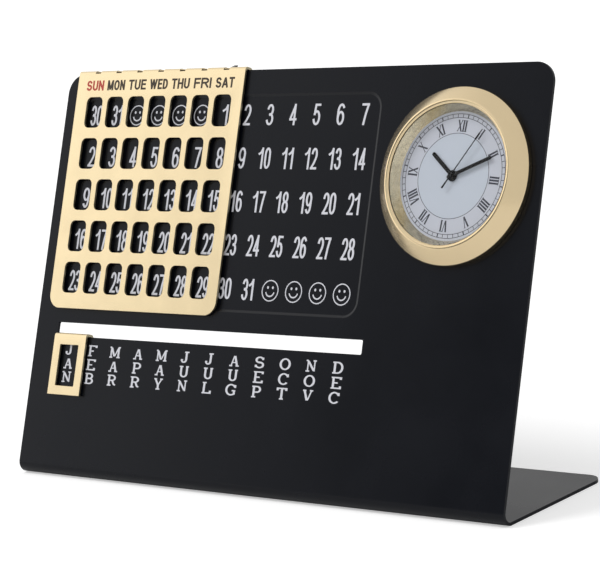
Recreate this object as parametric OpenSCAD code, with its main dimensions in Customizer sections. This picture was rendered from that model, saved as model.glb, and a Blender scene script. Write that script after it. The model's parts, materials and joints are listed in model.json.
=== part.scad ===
// Perpetual desk calendar with a press-in quartz clock.
// One folded sheet stands on the desk. A gilt day frame hangs over its top edge and
// a gilt month frame hangs in its slot, and both slide over printed tables.
// Millimetres, Z up. The origin is the middle of the base's flat underside, half way
// between the front corner and the back edge. Work on the leaning panel is drawn in
// its own directions: x across, y up the panel, z out of its face.

/* [Stand] */
// Width of the stand
stand_w = 200; // [196:1:230]
// Length of the leaning panel from its bottom corner to its top edge
panel_len = 137.6; // [136:0.2:150]
// Angle that the panel leans back from upright
lean = 21; // [15:0.5:26]
// Depth of the base from its front corner to its back edge
base_depth = 54.8; // [50:0.2:80]
// Thickness of the sheet
sheet_t = 1; // [0.8:0.1:1.5]
// Inside radius of the bend between panel and base
bend_r = 2.5; // [1:0.1:4]
// Radius of the panel's two top corners
panel_corner_r = 6.5; // [2:0.5:8]
// Radius of the base's two back corners
base_corner_r = 5.5; // [2:0.5:10]

/* [Day table] */
// Rows of numbers printed on the panel
day_rows = 5; // [4:1:5]
// Distance between number columns
day_pitch_x = 9.67; // [9.4:0.01:9.8]
// Distance between number rows
day_pitch_y = 14.12; // [13:0.01:14.4]
// Panel's left edge to the middle of the first column
day_first_x = 14.8; // [14:0.1:18]
// Panel's top edge to the middle of the first row
day_first_drop = 14.45; // [14.2:0.05:16]
// Depth of the pressed field round the numbers
field_depth = 0.3; // [0.1:0.05:0.5]
// Field's edge beyond the middles of the first and last columns
field_side = 6.5; // [6:0.1:8]
// Field's edge above the middle of the first row
field_above = 6.5; // [6:0.1:7.5]
// Field's edge below the middle of the last row
field_below = 7.9; // [6:0.1:8.5]
// Radius of the field's corners
field_corner_r = 5.5; // [2:0.5:6]

/* [Day frame] */
// Windows across the frame, one for each weekday
day_windows = 7; // [5:1:7]
// Thickness of the day frame's sheet
day_t = 0.9; // [0.7:0.05:1.2]
// Gap between the panel's face and the back of the frame
day_gap = 0.5; // [0.3:0.05:0.8]
// Gap between the panel's back and the frame's rear lip
lip_gap = 0.3; // [0.2:0.05:0.5]
// Running gap between the frame's fold and the panel's top edge
ride_gap = 0.1; // [0.05:0.05:0.3]
// Length of the frame's rear lip below the top edge
lip_len = 6; // [4:0.5:7]
// Inside radius of the folds in both frames
fold_r = 0.25; // [0.1:0.05:0.3]
// Width of a window
window_w = 7.4; // [6.5:0.1:7.8]
// Height of a window
window_h = 10.5; // [9:0.1:11]
// Radius of a window's corners
window_r = 1.3; // [0.5:0.1:2]
// Height of a window's middle above the middle of its row of numbers
window_rise = 1; // [0:0.1:1.4]
// Middles of the windows left of the number columns, where the frame rests
day_offset = 0.4; // [0:0.1:0.6]
// Frame's left edge beyond its first window
day_left = 5.2; // [4:0.1:5.8]
// Frame's right edge beyond its last window
day_right = 4.5; // [4:0.1:6]
// Frame's bottom edge below its last windows
day_bottom = 5.25; // [4:0.05:6]
// Radius of the frame's two bottom corners
day_corner_r = 4.6; // [2:0.1:5]
// Clearance of the click spring at each side of a notch
notch_side = 0.45; // [0.3:0.05:0.6]

/* [Click spring] */
// Width of the click spring
click_w = 1.4; // [1:0.1:1.8]
// Thickness of the click spring
click_t = 0.35; // [0.2:0.05:0.5]
// Gap between the spring's upright and the frame's rear lip
click_gap = 0.5; // [0.4:0.05:0.8]
// Height of the spring's crest above the panel's top edge
click_rise = 2.1; // [2:0.1:3]
// Length of the foot that is welded to the panel
click_foot = 9; // [5:0.5:12]
// Height of the spring's free upright below the frame's rear lip
click_drop = 5; // [4:0.5:8]

/* [Month table] */
// Months printed below the slot
month_cols = 12; // [6:1:12]
// Distance between month columns
month_pitch = 10.51; // [10.2:0.01:10.7]
// Panel's left edge to the middle of the first month
month_first_x = 16.95; // [16.5:0.05:20]
// Panel's top edge to the slot's lower edge
slot_drop = 89.7; // [88.6:0.1:91]
// Height of the slot
slot_h = 4.6; // [4:0.1:5]
// Radius of the slot's corners
slot_r = 0.5; // [0.3:0.1:1.2]
// Gap between the month frame and the end of the slot
slot_end_gap = 0.15; // [0.1:0.05:0.4]

/* [Month frame] */
// Width of the month frame
month_w = 14.8; // [14:0.1:16]
// Thickness of the month frame's sheet
month_t = 0.9; // [0.7:0.05:1.2]
// Height of the month frame's front below the slot's lower edge
month_h = 19.9; // [19:0.1:22]
// Width of the month frame's window
month_window_w = 8.6; // [7.5:0.1:9]
// Height of the month frame's window
month_window_h = 13.9; // [13:0.1:15]
// Border below the month frame's window
month_border = 3; // [2:0.1:3.2]
// Month frame's middle right of the month letters when it rests at the first month
month_offset = 0.75; // [0:0.05:1.3]
// Length of the month frame's rear hook below the slot's lower edge
hook_len = 7; // [4:0.5:10]

/* [Clock] */
// Panel's right edge to the middle of the clock
clock_from_right = 31.1; // [29:0.1:34]
// Panel's top edge to the middle of the clock
clock_from_top = 34.65; // [32:0.05:38]
// Radius of the bezel; the rest of the clock is widened or narrowed with it
bezel_r = 27.3; // [26.8:0.1:28]
// Width of the bezel from its edge to its inner lip
bezel_w = 5.8; // [5.4:0.1:6.2]
// Height of the bezel's side, under its sloping face
bezel_side = 2.4; // [2:0.1:3.4]
// Radius of the bezel's inner lip
lip_r = 21.5; // [21.2:0.1:21.7]
// Overlap of the lip on the lens
lip_cover = 0.8; // [0.6:0.1:0.9]
// Thickness of the lip
lip_t = 0.35; // [0.3:0.05:0.6]
// Height of the dial's face above the panel's face
dial_rise = 1.5; // [1.4:0.1:1.9]
// Thickness of the dial
dial_t = 0.4; // [0.3:0.05:0.5]
// Radius of the dial inside the reflector
dial_view_r = 19.7; // [19.5:0.1:20.1]
// Thickness of the lens
lens_t = 0.8; // [0.6:0.1:1.2]
// Room for the hands between dial and lens
hand_room = 2.9; // [2.7:0.1:3.3]
// Outside radius of the case behind the panel
case_r = 23.6; // [23.4:0.1:23.8]
// Depth of the case behind the panel's face
case_depth = 10.7; // [10.5:0.1:12.5]
// Wall of the case
case_wall = 1.2; // [1:0.1:1.4]
// Wall of the case's neck inside the bezel
neck_wall = 1.4; // [1:0.1:1.6]
// Thickness of the rubber grip band
band_t = 1.35; // [1:0.05:1.6]
// Width of the rubber grip band
band_w = 4.5; // [3:0.1:6]
// Clearance between pieces that are pressed together
snug = 0.02; // [0.01:0.01:0.04]
// Radial clearance of a shaft in its bore
run_gap = 0.05; // [0.02:0.01:0.08]

/* [Hands] */
// Turn of the dial and its hands to the right of upright, degrees
dial_turn = 5; // [0:1:8]
// Time shown at rest, hours
show_hours = 10; // [0:1:11]
// Time shown at rest, minutes
show_minutes = 10.5; // [0:0.5:59.5]
// Time shown at rest, seconds
show_seconds = 5; // [0:1:59]
// Length of the hour hand
hour_len = 10.7; // [9:0.1:12]
// Width of the hour hand
hour_w = 1.25; // [0.8:0.05:1.5]
// Length of the minute hand
minute_len = 14.9; // [13:0.1:17]
// Width of the minute hand
minute_w = 1.05; // [0.6:0.05:1.2]
// Length of the second hand
second_len = 17; // [15:0.1:18.5]
// Width of the second hand
second_w = 0.28; // [0.2:0.02:0.4]
// Length of the second hand's tail
second_tail = 4.8; // [3:0.1:6]
// Thickness of each hand
hand_t = 0.2; // [0.15:0.05:0.25]

/* [Movement] */
// Room under the dial for the motion work
motion_room = 1.6; // [1.6:0.05:1.8]
// Thickness of the main plate
plate_t = 1; // [0.8:0.1:1.2]
// Room between main plate and bridge
train_room = 4.2; // [4.2:0.1:4.4]
// Thickness of the bridge
bridge_t = 0.8; // [0.6:0.1:0.9]
// Radius of the bridge
bridge_r = 19; // [18.6:0.1:19.4]
// Radius of a pillar
pillar_r = 1.3; // [1.1:0.1:1.5]
// Distance of each pillar from the middle
pillar_ring = 17; // [16.8:0.1:17.2]
// Distance of the third wheel's arbor from the middle
third_run = 7.65; // [7.45:0.05:7.65]
// Distance of the step wheel's arbor from the middle
step_run = 7.7; // [7.55:0.05:7.85]
// Distance of the motion wheel's post from the middle
motion_run = 6; // [5.8:0.05:6]
// Thickness of a wheel
wheel_t = 0.4; // [0.3:0.05:0.45]
// Radius of the second arbor
arbor_r = 0.35; // [0.3:0.01:0.36]
// Outside radius of the minute tube
minute_tube_r = 0.75; // [0.72:0.01:0.76]
// Outside radius of the hour tube
hour_tube_r = 1.2; // [1.15:0.01:1.25]
// Radius of the rotor's magnet
magnet_r = 1.9; // [1.6:0.1:2]
// Radius of the button cell
cell_r = 5.8; // [5.6:0.05:5.85]
// Thickness of the button cell
cell_t = 5.4; // [5.2:0.1:5.5]
// Distance of the cell from the middle
cell_ring = 13; // [12.8:0.1:13.2]
// Radius of the setting knob
knob_r = 4; // [3:0.1:4.5]
// Thickness of the setting knob
knob_t = 2.2; // [1.6:0.1:3]
// Radius of the setting stem
stem_r = 0.9; // [0.7:0.05:1]
// Gap between the knob and the case's back
knob_gap = 0.3; // [0.2:0.05:0.5]

/* [Hidden] */
$fn = 48;
fine = 96; // segments of the clock's large circles
bite = 1; // overrun of a cutting shape
stand_black = [0.11, 0.115, 0.13];
gilt = [0.93, 0.83, 0.62];

// Stand
bend_outer = bend_r + sheet_t;
bend_run = bend_outer * tan((90 + lean) / 2);
bend_at = [bend_run - base_depth / 2, bend_outer];
panel_up = [sin(lean), cos(lean)];
panel_out = [-cos(lean), sin(lean)];
left = -stand_w / 2;
right = stand_w / 2;

// Day table: twice as many columns as windows, less one, so that the 1st can fall on any weekday
day_cols = 2 * day_windows - 1;
first_col = left + day_first_x;
first_row = panel_len - day_first_drop;
last_col = first_col + (day_cols - 1) * day_pitch_x;
last_row = first_row - (day_rows - 1) * day_pitch_y;
field_left = first_col - field_side;
field_w = last_col + field_side - field_left;
field_bottom = last_row - field_below;
field_h = first_row + field_above - field_bottom;

// Day frame
lip_z = -sheet_t - lip_gap;
first_window = first_col - day_offset;
last_window = first_window + (day_windows - 1) * day_pitch_x;
day_frame_left = first_window - window_w / 2 - day_left;
day_frame_w = last_window + window_w / 2 + day_right - day_frame_left;
day_frame_bottom = last_row + window_rise - window_h / 2 - day_bottom;
day_lip_bottom = panel_len - lip_len;
notch_w = click_w + 2 * notch_side;
notch_back = lip_z - day_t / 3;
notch_h = ride_gap + day_t + bite;

// Click spring: its tip lies in the last window's notch when the frame is at rest
click_foot_z = -sheet_t - field_depth - click_t / 2;
click_up_z = lip_z - day_t - click_gap - click_t / 2;
click_foot_top = day_lip_bottom - click_drop;
click_kick = 3.4; // height of the slope from the foot to the upright
click_tip_z = 0.15;
click_tip_rise = 0.3;

// Month frame and slot
slot_y = panel_len - slot_drop;
month_rest = left + month_first_x + month_offset;
slot_nib = slot_r - sqrt(pow(slot_r, 2) - pow(slot_r - ride_gap, 2)); // reach of a corner under the frame
slot_left = month_rest - month_w / 2 - slot_nib - slot_end_gap;
slot_w = (month_cols - 1) * month_pitch + month_w + 2 * (slot_nib + slot_end_gap);
month_bottom = slot_y - month_h;

// Clock, as heights out of the panel's face. Its own radii add up to a bezel of insert_r
insert_r = lip_r + bezel_w;
clock_fit = bezel_r / insert_r;
clock_x = right - clock_from_right;
clock_y = panel_len - clock_from_top;
hole_r = case_r + band_t + snug;
bore_r = lip_r + lip_cover;
dial_seat = dial_rise - dial_t;
lens_z = dial_rise + hand_room;
lens_top = lens_z + lens_t;
bezel_h = lens_top + lip_t;
bezel_round = 0.8; // radius between the bezel's side and its sloping face
bezel_arc = [insert_r - bezel_round, bezel_side - bezel_round];
bezel_tilt = atan2(bezel_h - bezel_side, bezel_arc[0] - lip_r - lip_t);
dial_hole_r = hour_tube_r + 0.25;
neck_r = bore_r - snug;
neck_in = bore_r - neck_wall;
ledge_w = 1; // reach of the ledge under the main plate
ledge_t = 1.2;
bead = 0.6; // the band's bead stands out behind the panel
bead_w = 1;
groove_r = 0.25;
groove_pitch = 0.9;

// Hands
hour_angle = dial_turn + 30 * (show_hours + show_minutes / 60);
minute_angle = dial_turn + 6 * show_minutes;
second_angle = dial_turn + 6 * show_seconds;
hand_gap = 0.27;
boss_w = 0.5; // ring of a hand round its tube
hour_hand_z = dial_rise + hand_gap;
minute_hand_z = hour_hand_z + hand_t + hand_gap;
second_hand_z = minute_hand_z + hand_t + hand_gap;
minute_tail = 1.2;

// Movement levels, as heights out of the panel's face
plate_top = dial_seat - motion_room;
plate_z = plate_top - plate_t;
bridge_top = plate_z - train_room;
bridge_z = bridge_top - bridge_t;
back_in = -case_depth + case_wall;
motion_wheel_z = plate_top + 0.25;
hour_wheel_z = motion_wheel_z + 0.6;
wheel_gap = 0.55; // from one wheel of the train to the next
centre_wheel_z = plate_z - 0.3 - wheel_t;
third_wheel_z = centre_wheel_z - wheel_gap - wheel_t;
second_wheel_z = third_wheel_z - wheel_gap - wheel_t;
step_wheel_z = second_wheel_z - wheel_gap - wheel_t;
collar_t = 0.15; // collars of the clutch between the centre wheel and the minute tube
collar_z = centre_wheel_z - 0.1 - collar_t;
rim_w = 1.4; // width of the main plate's rim under the dial

// Teeth
leaves = 10;
step_teeth = 50;
second_teeth = 60;
third_teeth = 75;
centre_teeth = 80;
minute_teeth = 12;
motion_teeth = 36;
hour_teeth = 40;
setting_teeth = 14;
leaf_over = 0.1; // a pinion is longer than its wheel by this at each end
train_module = 2 * third_run / (leaves + third_teeth);
centre_module = 2 * third_run / (leaves + centre_teeth);
second_module = 2 * step_run / (leaves + second_teeth);
motion_module = 2 * motion_run / (minute_teeth + motion_teeth);
hour_module = 2 * motion_run / (leaves + hour_teeth);
core_r = 2.7 * train_module; // boss between a wheel and its pinion

// Places of the arbors, from the clock's middle
step_dir = 180;
rotor_dir = 215;
third_dir = 80;
motion_dir = 30;
cell_dir = 250;
coil_dir = 150;
pillar_dirs = [100, 215, 325];
step_at = polar(step_run, step_dir);
rotor_at = step_at + polar(train_module * (leaves + step_teeth) / 2, rotor_dir);
third_at = polar(third_run, third_dir);
motion_at = polar(motion_run, motion_dir);
setting_at = motion_at + polar(motion_module * (motion_teeth + setting_teeth) / 2, motion_dir);
cell_at = polar(cell_ring, cell_dir);

// Phase of each gear, so that every pair is in mesh at rest
motion_phase = mesh(motion_dir, minute_teeth, -minute_angle, motion_teeth);
setting_phase = mesh(motion_dir, motion_teeth, motion_phase, setting_teeth);
hour_phase = mesh(motion_dir + 180, leaves, motion_dir, hour_teeth);
step_phase = mesh(step_dir, second_teeth, 0, leaves);
rotor_phase = mesh(rotor_dir, step_teeth, 0, leaves);
third_phase = mesh(third_dir, leaves, 0, third_teeth);
centre_phase = mesh(third_dir + 180, leaves, 0, centre_teeth);

// Motor: a one-piece stator whose two tabs lie under the coil's core
stator_t = 0.5;
stator_drop = 2.5; // from the main plate down to the stator
stator_z = plate_z - stator_drop;
magnet_over = 0.2;
magnet_gap = 0.35;
lobe_w = 1.9; // ring of the stator round the magnet
yoke_in = 16.9;
yoke_w = 1.8;
yoke_end = 0.5; // reach of the stator's arms into the yoke
coil_at = polar(13.2, coil_dir);
coil_len = 9;
coil_r = 1.5;
cheek_r = 1.7;
cheek_t = 0.3;
core_t = 0.5;
core_w = 1.8;
tab_run = 6.2; // from the coil's middle to a tab
tab_r = 1.2;

// Screws, board and battery
screw_r = 0.45;
screw_depth = 3;
screw_head_r = 1;
screw_head_t = 0.5;
board_w = 14;
board_h = 10;
board_t = 0.6;
board_corner_r = 0.5;
board_at = [9.5, -3];
board_z = bridge_z - board_t;
stake_r = 0.55;
stake_run = 5;
stake_over = 0.3;
chip_at = [2, -1.5];
chip_r = 1.9;
chip_t = 0.5;
can_r = 0.95;
can_len = 5.5;
can_up = 3;
contact_t = 0.2;
contact_w = 3;
contact_off = 0.03;
minus_foot = [-6.4, -3.4]; // the minus leaf's foot, from the cell's middle
minus_tip = 2.5; // reach of the minus leaf past the cell's middle
plus_foot = 3.6; // length of the plus leaf's foot
plus_down = 1; // height of the plus leaf's end above the cell's back
cell_back = back_in + 0.2;
cell_front = cell_back + cell_t;
cell_cap_t = 0.6;
cell_cap_in = 0.9;
cover_rim = 0.4; // the cover's rim round the cell
cover_r = cell_r + cover_rim;
cover_gap = 0.1;
lug_w = 1.1;
lug_t = 0.6;
lug_half = 9; // half the angle that a lug takes
lug_side = 2; // extra half angle of the notch that it enters by
unlock = 40; // turn that frees the cover
coin_len = 1.6 * cell_r;
coin_w = 1.4;
coin_depth = 0.6;
flutes = 18;
flute_r = 0.4;

function polar(r, a) = [r * cos(a), r * sin(a)];

// Phase that puts a gap of gear b against a tooth of gear a, which lies in direction dir of b
function mesh(dir, a_teeth, a_phase, b_teeth) =
    dir + 180 + 180 / b_teeth - (a_phase - dir) * a_teeth / b_teeth;

// Outline of a gear whose teeth are thinner than their gaps, for backlash
function gear_points(teeth, m) = let (
    half = 0.2 * PI * m,
    tip = m * (teeth / 2 + 0.8),
    root = m * (teeth / 2 - 1.1),
    tip_half = (half - 0.24 * m) / tip,
    root_half = (half + 0.33 * m) / root
) [for (i = [0 : teeth - 1])
    for (k = [[root, -root_half], [tip, -tip_half], [tip, tip_half], [root, root_half]])
        polar(k[0], 360 * i / teeth + k[1] * 180 / PI)];

// Side of a bent strip: the middle line's points, moved half a thickness to one side
function strip_side(pts, off) = [for (i = [0 : len(pts) - 1]) let (
    before = i == 0 ? pts[1] - pts[0] : pts[i] - pts[i - 1],
    after = i == len(pts) - 1 ? before : pts[i + 1] - pts[i],
    n1 = [-before[1], before[0]] / norm(before),
    n2 = [-after[1], after[0]] / norm(after)
) pts[i] + off * (n1 + n2) / (1 + n1 * n2)];

function strip_outline(pts, t) = concat(
    strip_side(pts, t / 2),
    [for (i = [len(pts) - 1 : -1 : 0]) strip_side(pts, -t / 2)[i]]
);

// Panel directions: x across, y up the panel, z out of its face
module on_panel() {
    translate([0, -base_depth / 2, 0]) rotate([90 - lean, 0, 0]) children();
}

module at_clock() {
    on_panel() translate([clock_x, clock_y, 0]) scale([clock_fit, clock_fit, 1]) children();
}

// A section drawn as (z, y) is extruded along x from x0, w wide
module section(x0, w) {
    translate([x0 + w, 0, 0]) rotate([0, -90, 0]) linear_extrude(w) children();
}

module rounded(w, h, r) {
    translate([r, 0]) square([w - 2 * r, h]);
    translate([0, r]) square([w, h - 2 * r]);
    for (x = [r, w - r], y = [r, h - r]) translate([x, y]) circle(r);
}

// Rectangle with two round corners, at the top or at the bottom
module half_rounded(w, h, r, top) {
    translate([0, top ? 0 : r]) square([w, h - r]);
    translate([r, top ? h - r : 0]) square([w - 2 * r, r]);
    for (x = [r, w - r]) translate([x, top ? h - r : r]) circle(r);
}

// Section of a sheet that is folded over an edge: a front plate down to front_bottom, two round
// folds and a rear lip down to lip_bottom
module fold_section(edge, t, front_bottom, lip_bottom) {
    inner_w = day_gap - lip_z;
    difference() {
        translate([lip_z - t, front_bottom])
            half_rounded(inner_w + 2 * t, edge + t - front_bottom, fold_r + t, true);
        translate([lip_z, front_bottom - bite])
            half_rounded(inner_w, edge - front_bottom + bite, fold_r, true);
        translate([lip_z - t - bite, front_bottom - bite])
            square([t + 2 * bite, lip_bottom - front_bottom + bite]);
    }
}

// Side view of everything within r of the bend's middle and on between base and panel
module wedge(r, end_t, over) {
    base_end = bend_at + [base_depth - bend_run + over, -r];
    panel_side = bend_at + r * panel_out;
    panel_end = panel_side + (panel_len - bend_run + over) * panel_up;
    translate(bend_at) circle(r);
    polygon([bend_at, bend_at - [0, r], base_end, base_end + [0, end_t],
        panel_end - end_t * panel_out, panel_end, panel_side]);
}

// What lies outside a round corner of radius r, through a sheet that starts at z = 0
module corner_waste(r) {
    translate([0, 0, -bite]) linear_extrude(sheet_t + 2 * bite) difference() {
        translate([-r, -r]) square(r + bite);
        translate([-r, -r]) circle(r);
    }
}

module stand_body() {
    color(stand_black) difference() {
        union() {
            translate([left, 0, 0]) rotate([90, 0, 90]) linear_extrude(stand_w) difference() {
                wedge(bend_outer, sheet_t, 0);
                wedge(bend_r, 0, bite);
            }
            // The pressed field stands out at the back
            on_panel() translate([field_left, field_bottom, -sheet_t - field_depth])
                linear_extrude(field_depth + sheet_t / 2) rounded(field_w, field_h, field_corner_r);
        }
        for (side = [0, 1]) mirror([side, 0, 0]) {
            on_panel() translate([right, panel_len, -sheet_t]) corner_waste(panel_corner_r);
            translate([right, base_depth / 2, 0]) corner_waste(base_corner_r);
        }
        on_panel() translate([field_left, field_bottom, -field_depth])
            linear_extrude(field_depth + bite) rounded(field_w, field_h, field_corner_r);
        on_panel() translate([slot_left, slot_y, -sheet_t - bite])
            linear_extrude(sheet_t + 2 * bite) rounded(slot_w, slot_h, slot_r);
        at_clock() bore([0, 0], hole_r, -sheet_t, sheet_t, $fn = fine);
    }
}

module click_spring() {
    path = [
        [click_foot_z, click_foot_top - click_foot],
        [click_foot_z, click_foot_top],
        [click_up_z, click_foot_top + click_kick],
        [click_up_z, panel_len + click_rise],
        [click_tip_z, panel_len + click_tip_rise]
    ];
    color("black") on_panel() section(last_window - click_w / 2, click_w)
        polygon(strip_outline(path, click_t));
}

module day_frame() {
    color(gilt) on_panel() difference() {
        union() {
            translate([day_frame_left, day_frame_bottom, day_gap]) linear_extrude(day_t)
                half_rounded(day_frame_w, first_row + bite - day_frame_bottom, day_corner_r, false);
            section(day_frame_left, day_frame_w)
                fold_section(panel_len + ride_gap, day_t, first_row, day_lip_bottom);
        }
        for (i = [0 : day_windows - 1]) translate([first_window + i * day_pitch_x, 0, 0]) {
            for (j = [0 : day_rows - 1])
                translate([-window_w / 2, first_row - j * day_pitch_y + window_rise - window_h / 2, 0])
                    linear_extrude(day_gap + day_t + bite) rounded(window_w, window_h, window_r);
            translate([-notch_w / 2, panel_len, notch_back])
                cube([notch_w, notch_h, day_gap + day_t + bite - notch_back]);
        }
    }
}

module month_frame() {
    color(gilt) on_panel() difference() {
        section(month_rest - month_w / 2, month_w)
            fold_section(slot_y + ride_gap, month_t, month_bottom, slot_y - hook_len);
        translate([month_rest - month_window_w / 2, month_bottom + month_border, 0])
            cube([month_window_w, month_window_h, day_gap + month_t + bite]);
    }
}

module clock_bezel() {
    color(gilt) at_clock() rotate_extrude($fn = fine) {
        polygon([[bore_r, 0], [insert_r, 0], [insert_r, bezel_arc[1]],
            bezel_arc + polar(bezel_round, 90 - bezel_tilt), [lip_r + lip_t, bezel_h],
            [lip_r, bezel_h - lip_t / 2], [lip_r, lens_top], [bore_r, lens_top]]);
        intersection() {
            translate(bezel_arc) circle(bezel_round);
            translate([bore_r, 0]) square([insert_r - bore_r, bezel_side]);
        }
    }
}

module clock_lens() {
    color([0.85, 0.92, 0.95, 0.3]) at_clock() translate([0, 0, lens_z])
        cylinder(r = neck_r, h = lens_t, $fn = fine);
}

module reflector_ring() {
    color("darkkhaki") at_clock() rotate_extrude($fn = fine)
        polygon([[dial_view_r, dial_rise], [neck_r, dial_rise], [neck_r, lens_z], [lip_r, lens_z]]);
}

module clock_dial() {
    color("white") at_clock() difference() {
        translate([0, 0, dial_seat]) cylinder(r = neck_r, h = dial_t, $fn = fine);
        bore([0, 0], dial_hole_r, dial_seat, dial_t);
    }
}

// A straight hand with a round boss, pointing up the panel
module baton(length, w, boss_r, tail) {
    translate([-w / 2, -tail]) square([w, length + tail - w / 2]);
    translate([0, length - w / 2]) circle(w / 2);
    translate([0, -tail]) circle(w / 2);
    circle(boss_r);
}

module hour_hand() {
    color("black") at_clock() translate([0, 0, hour_hand_z]) rotate(-hour_angle)
        linear_extrude(hand_t) difference() {
            baton(hour_len, hour_w, hour_tube_r + boss_w, 0);
            circle(hour_tube_r + snug);
        }
}

module minute_hand() {
    color("black") at_clock() translate([0, 0, minute_hand_z]) rotate(-minute_angle)
        linear_extrude(hand_t) difference() {
            baton(minute_len, minute_w, minute_tube_r + boss_w, minute_tail);
            circle(minute_tube_r + snug);
        }
}

module second_hand() {
    color("black") at_clock() translate([0, 0, second_hand_z]) rotate(-second_angle)
        linear_extrude(hand_t) difference() {
            union() {
                baton(second_len, second_w, arbor_r + boss_w, second_tail);
                polygon([[-second_w / 2, 0], [-second_w, -second_tail],
                    [second_w, -second_tail], [second_w / 2, 0]]);
            }
            circle(arbor_r + snug);
        }
}

module clock_case() {
    color("dimgray") at_clock() difference() {
        rotate_extrude($fn = fine) polygon([[0, -case_depth], [case_r, -case_depth], [case_r, 0],
            [neck_r, 0], [neck_r, dial_seat], [neck_in, dial_seat], [neck_in, plate_z],
            [neck_in - ledge_w, plate_z], [neck_in - ledge_w, plate_z - ledge_t],
            [case_r - case_wall, plate_z - ledge_t], [case_r - case_wall, back_in], [0, back_in]]);
        bore(setting_at, stem_r + run_gap, -case_depth, case_wall);
        bore(cell_at, cover_r + cover_gap, -case_depth, case_wall);
        translate([cell_at[0], cell_at[1], -case_depth - bite]) linear_extrude(case_wall + 2 * bite)
            lugs(cover_r + lug_w + cover_gap, lug_half + lug_side, unlock);
    }
}

// Two bayonet lugs: sectors that reach r from the middle, half degrees to each side of an angle
module lugs(r, half, angle) {
    for (a = [angle, angle + 180]) intersection() {
        circle(r);
        polygon([[0, 0], 2 * polar(r, a - half), 2 * polar(r, a + half)]);
    }
}

module battery_cover() {
    lug_z = back_in + cover_gap / 2;
    rim_top = cell_back + lug_t;
    color("slategray") at_clock() translate([cell_at[0], cell_at[1], 0]) difference() {
        union() {
            translate([0, 0, -case_depth]) cylinder(r = cover_r, h = rim_top + case_depth);
            translate([0, 0, lug_z]) linear_extrude(rim_top - lug_z) lugs(cover_r + lug_w, lug_half, 0);
        }
        translate([0, 0, cell_back]) cylinder(r = cell_r + snug, h = lug_t + bite);
        translate([-coin_len / 2, -coin_w / 2, -case_depth - bite])
            cube([coin_len, coin_w, coin_depth + bite]);
    }
}

module grip_band() {
    bead_z = -sheet_t - snug - bead_w;
    color("black") at_clock() rotate_extrude($fn = fine) difference() {
        union() {
            translate([case_r + snug, -band_w]) square([band_t - snug, band_w]);
            translate([case_r + snug, bead_z]) square([band_t + bead - snug, bead_w]);
        }
        for (i = [1 : 2]) translate([case_r + band_t, bead_z - i * groove_pitch]) circle(groove_r);
    }
}

// Round hole through a plate that starts at z and is t thick
module bore(at, r, z, t) {
    translate([at[0], at[1], z - bite]) cylinder(r = r, h = t + 2 * bite);
}

module main_plate() {
    color("ivory") at_clock() difference() {
        union() {
            translate([0, 0, plate_z]) difference() {
                cylinder(r = neck_in - snug, h = dial_seat - plate_z, $fn = fine);
                translate([0, 0, plate_t])
                    cylinder(r = neck_in - rim_w, h = motion_room + bite, $fn = fine);
            }
            for (a = pillar_dirs) translate(polar(pillar_ring, a)) translate([0, 0, bridge_top])
                cylinder(r = pillar_r, h = train_room + plate_t / 2);
            translate([motion_at[0], motion_at[1], plate_z])
                cylinder(r = arbor_r, h = hour_wheel_z + wheel_t - plate_z);
        }
        bore([0, 0], minute_tube_r + run_gap, plate_z, plate_t);
        bore(setting_at, stem_r + run_gap, plate_z, plate_t);
        for (at = [third_at, step_at, rotor_at]) bore(at, arbor_r + run_gap, plate_z, plate_t);
        for (a = pillar_dirs) translate(polar(pillar_ring, a)) translate([0, 0, bridge_top - bite])
            cylinder(r = screw_r + snug, h = screw_depth + bite);
    }
}

module train_bridge() {
    color("tan") at_clock() difference() {
        union() {
            translate([0, 0, bridge_z]) cylinder(r = bridge_r, h = bridge_t, $fn = fine);
            for (x = [-stake_run, stake_run])
                translate([board_at[0] + x, board_at[1], board_z - stake_over])
                    cylinder(r = stake_r, h = stake_over + board_t + bridge_t / 2);
        }
        bore(cell_at, cell_r + run_gap, bridge_z, bridge_t);
        bore(setting_at, stem_r + run_gap, bridge_z, bridge_t);
        for (at = [[0, 0], third_at, step_at, rotor_at]) bore(at, arbor_r + run_gap, bridge_z, bridge_t);
        for (a = pillar_dirs) bore(polar(pillar_ring, a), screw_r + snug, bridge_z, bridge_t);
    }
}

module bridge_screws() {
    tip_gap = 0.2;
    slit = 0.25;
    color("silver") at_clock() for (a = pillar_dirs) translate(polar(pillar_ring, a)) difference() {
        union() {
            translate([0, 0, bridge_z - screw_head_t]) cylinder(r = screw_head_r, h = screw_head_t);
            translate([0, 0, bridge_z - screw_head_t / 2])
                cylinder(r = screw_r, h = screw_head_t / 2 + bridge_t + screw_depth - tip_gap);
        }
        translate([-screw_head_r, -slit / 2, bridge_z - screw_head_t - bite])
            cube([2 * screw_head_r, slit, slit + bite]);
    }
}

module gear(teeth, m, t, phase) {
    linear_extrude(t) rotate(phase) polygon(gear_points(teeth, m));
}

// Minute tube: its pinion lies above the main plate and its clutch collar below the centre wheel
module minute_pinion() {
    tube_h = minute_hand_z + hand_t - collar_z;
    pinion_z = motion_wheel_z - leaf_over;
    color("gold") at_clock() difference() {
        union() {
            translate([0, 0, collar_z]) cylinder(r = minute_tube_r, h = tube_h);
            translate([0, 0, collar_z]) cylinder(r = minute_tube_r + 2 * boss_w, h = collar_t);
            translate([0, 0, pinion_z])
                gear(minute_teeth, motion_module, wheel_t + 2 * leaf_over, -minute_angle);
        }
        bore([0, 0], arbor_r + run_gap, collar_z, tube_h);
    }
}

module hour_wheel() {
    tube_h = hour_hand_z + hand_t - hour_wheel_z;
    color("gold") at_clock() difference() {
        union() {
            translate([0, 0, hour_wheel_z]) gear(hour_teeth, hour_module, wheel_t, hour_phase);
            translate([0, 0, hour_wheel_z]) cylinder(r = hour_tube_r, h = tube_h);
        }
        bore([0, 0], minute_tube_r + run_gap, hour_wheel_z, tube_h);
    }
}

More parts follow.
